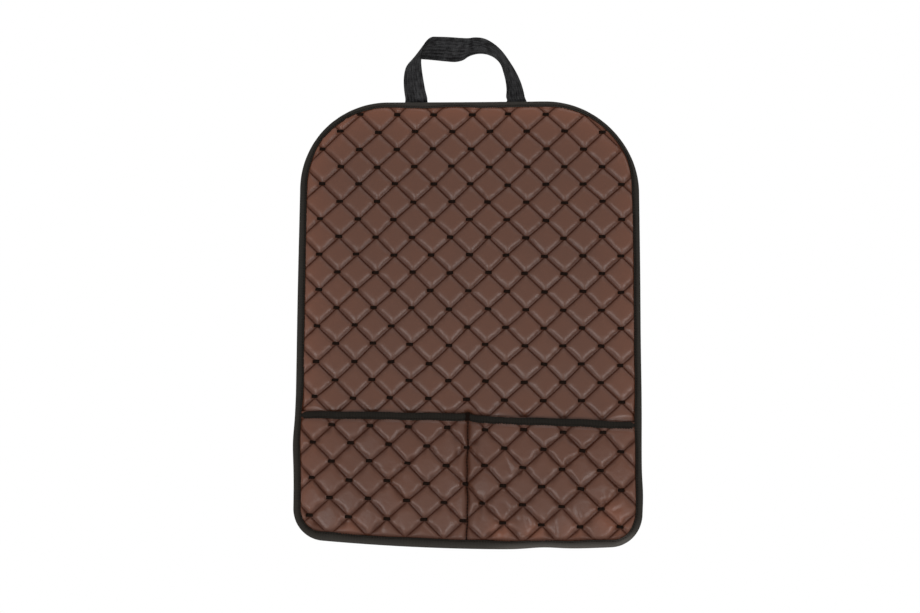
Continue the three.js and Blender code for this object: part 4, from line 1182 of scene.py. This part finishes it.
# Cloth in two layers on the same rings, slack by two ripples and puckered along its seam by a sine wave
def makeLining():
    look = liningLook
    x, z, heading, run = outlineStations(look["step"])
    rings = [movedIn(x, z, heading, inset, depth) for inset, depth in look["hem"]]
    hem = rings[-1]
    for share in np.linspace(*look["shares"]):
        rings.append(hem * (1 - share, 1, 1 - share))
    grid = np.stack(rings)
    gridX, gridZ = grid[..., 0], grid[..., 2]
    inset, _ = insetAt(gridX, gridZ)
    slack = sum(size * (1 + ripple(gridX, gridZ, length, seed)) for size, length, seed in look["slack"])
    wave = 1 + np.sin(run[:-1] / look["puckerLength"])
    pucker = look["pucker"] * wave * bell(inset - look["puckerAt"], look["puckerHalf"])
    depth = np.maximum((slack + pucker) * ease(inset, *look["slackOver"]), 0) - grid[..., 1]
    outer = np.stack([gridX, -depth, gridZ], -1)
    inner = np.stack([gridX, -np.maximum(depth + look["thickness"], 0.5), gridZ], -1)
    count, size = gridX.shape
    total = count * size
    quads = gridFaces(count, size, isRound=True)
    j = np.arange(size)
    step = np.roll(j, -1)
    last = total - size
    walls = np.c_[j, step, step + total, j + total]
    fan = np.c_[last + j, np.full(size, 2 * total), last + step]
    fanInner = np.c_[total + last + step, np.full(size, 2 * total + 1), total + last + j]
    centre = np.array([[0, layer[-1, :, 1].mean(), 0] for layer in (outer, inner)])
    points = np.concatenate([outer.reshape(-1, 3), inner.reshape(-1, 3), centre])
    piece = makePiece("back_lining_cloth", points, [quads, quads[:, ::-1] + total, walls, fan, fanInner])
    finishPiece(piece, lining, "lining_cloth", "back_lining")


makeLining()
print("lining made")

# The room, in metres, and its lamps: place, aim, size and watts
room = {"floorZ": -1.7, "floorSize": 12.0, "ambient": 0.55, "floorGlow": 0.8, "paper": "#f4f4f3"}
lamps = {
    "highSoftbox": {"at": (0.4, -1.3, 2.2), "aim": (0, 0, 0.05), "size": (1.6, 1.6), "watts": 9},
    "lowLeftSoftbox": {"at": (-1.34, -2.28, -1.42), "aim": (0, 0, 0), "size": (1.1, 1.1), "watts": 24},
    "lowRightSoftbox": {"at": (1.23, -2.33, -1.42), "aim": (0, 0, 0), "size": (1.1, 1.1), "watts": 26},
    "rightStrip": {"at": (1.5, -0.6, 1.1), "aim": (0.1, 0, 0.2), "size": (0.4, 1.2), "watts": 3},
    "backFill": {"at": (0.2, 2.0, 1.0), "aim": (0, 0, 0), "size": (1.6, 1.6), "watts": 16},
}
view = {
    "place": (0.12295, -1.6733, -0.16805), "forward": (-0.0786, 0.9907, 0.1111),
    "up": (0.0021, -0.1113, 0.9938), "lens": 50.0, "sensor": 36.0,
}


# 1 for the rays that see the background: camera, glossy and transmission rays
def seenShare(add):
    light = add("LightPath")
    seen = add("Math", {"operation": "MAXIMUM"}, {0: (light, "Is Camera Ray"), 1: (light, "Is Glossy Ray")})
    return add("Math", {"operation": "MAXIMUM"}, {0: (seen, 0), 1: (light, "Is Transmission Ray")})


# Matt white paper that glows for those rays alone and keeps the object's shadow
def makeFloor():
    half = room["floorSize"] / 2 / mm
    z = room["floorZ"] / mm
    points = np.array([[-half, -half, z], [half, -half, z], [half, half, z], [-half, half, z]])
    floor = makePiece("floor", points, [np.array([[0, 1, 2, 3]])], isClosed=False)
    material, add = emptyTree(bpy.data.materials.new("white_paper_floor"))
    glow = add("Math", {"operation": "MULTIPLY", 1: room["floorGlow"]}, {0: (seenShare(add), 0)})
    shader = add("BsdfPrincipled", {"Base Color": colour(room["paper"]), "Roughness": 0.9,
                                    "Specular IOR Level": 0.1, "Emission Color": (1, 1, 1, 1)},
                 {"Emission Strength": (glow, 0)})
    add("OutputMaterial", None, {"Surface": (shader, "BSDF")})
    floor.data.materials.append(material)


# Plain white world that lights the object softly and shows white for those rays
def makeWorld():
    world, add = emptyTree(bpy.data.worlds.new("studio"))
    bpy.context.scene.world = world
    shown = seenShare(add)
    soft = add("Background", {"Color": (1, 1, 1, 1), "Strength": room["ambient"]})
    white = add("Background", {"Color": (1, 1, 1, 1), "Strength": 1.0})
    mix = add("MixShader", None, {0: (shown, 0), 1: (soft, "Background"), 2: (white, "Background")})
    add("OutputWorld", None, {"Surface": (mix, 0)})


def makeLamps():
    for name, look in lamps.items():
        data = bpy.data.lights.new(name, "AREA")
        data.shape = "RECTANGLE"
        data.size, data.size_y = look["size"]
        data.energy = look["watts"]
        lamp = bpy.data.objects.new(name, data)
        bpy.context.scene.collection.objects.link(lamp)
        lamp.location = look["at"]
        lamp.rotation_mode = "QUATERNION"
        lamp.rotation_quaternion = (Vector(look["aim"]) - Vector(look["at"])).to_track_quat("-Z", "Y")
        lamp.visible_camera = False


def makeCamera():
    data = bpy.data.cameras.new("camera")
    data.lens = view["lens"]
    data.sensor_width = view["sensor"]
    data.sensor_fit = "HORIZONTAL"
    camera = bpy.data.objects.new("camera", data)
    bpy.context.scene.collection.objects.link(camera)
    forward = Vector(view["forward"]).normalized()
    right = forward.cross(Vector(view["up"])).normalized()
    axes = Matrix((right, right.cross(forward), -forward)).transposed()
    camera.matrix_world = Matrix.Translation(view["place"]) @ axes.to_4x4()
    bpy.context.scene.camera = camera


makeFloor()
makeWorld()
makeLamps()
makeCamera()
bpy.context.scene.view_settings.view_transform = "Standard"
print("room ready")
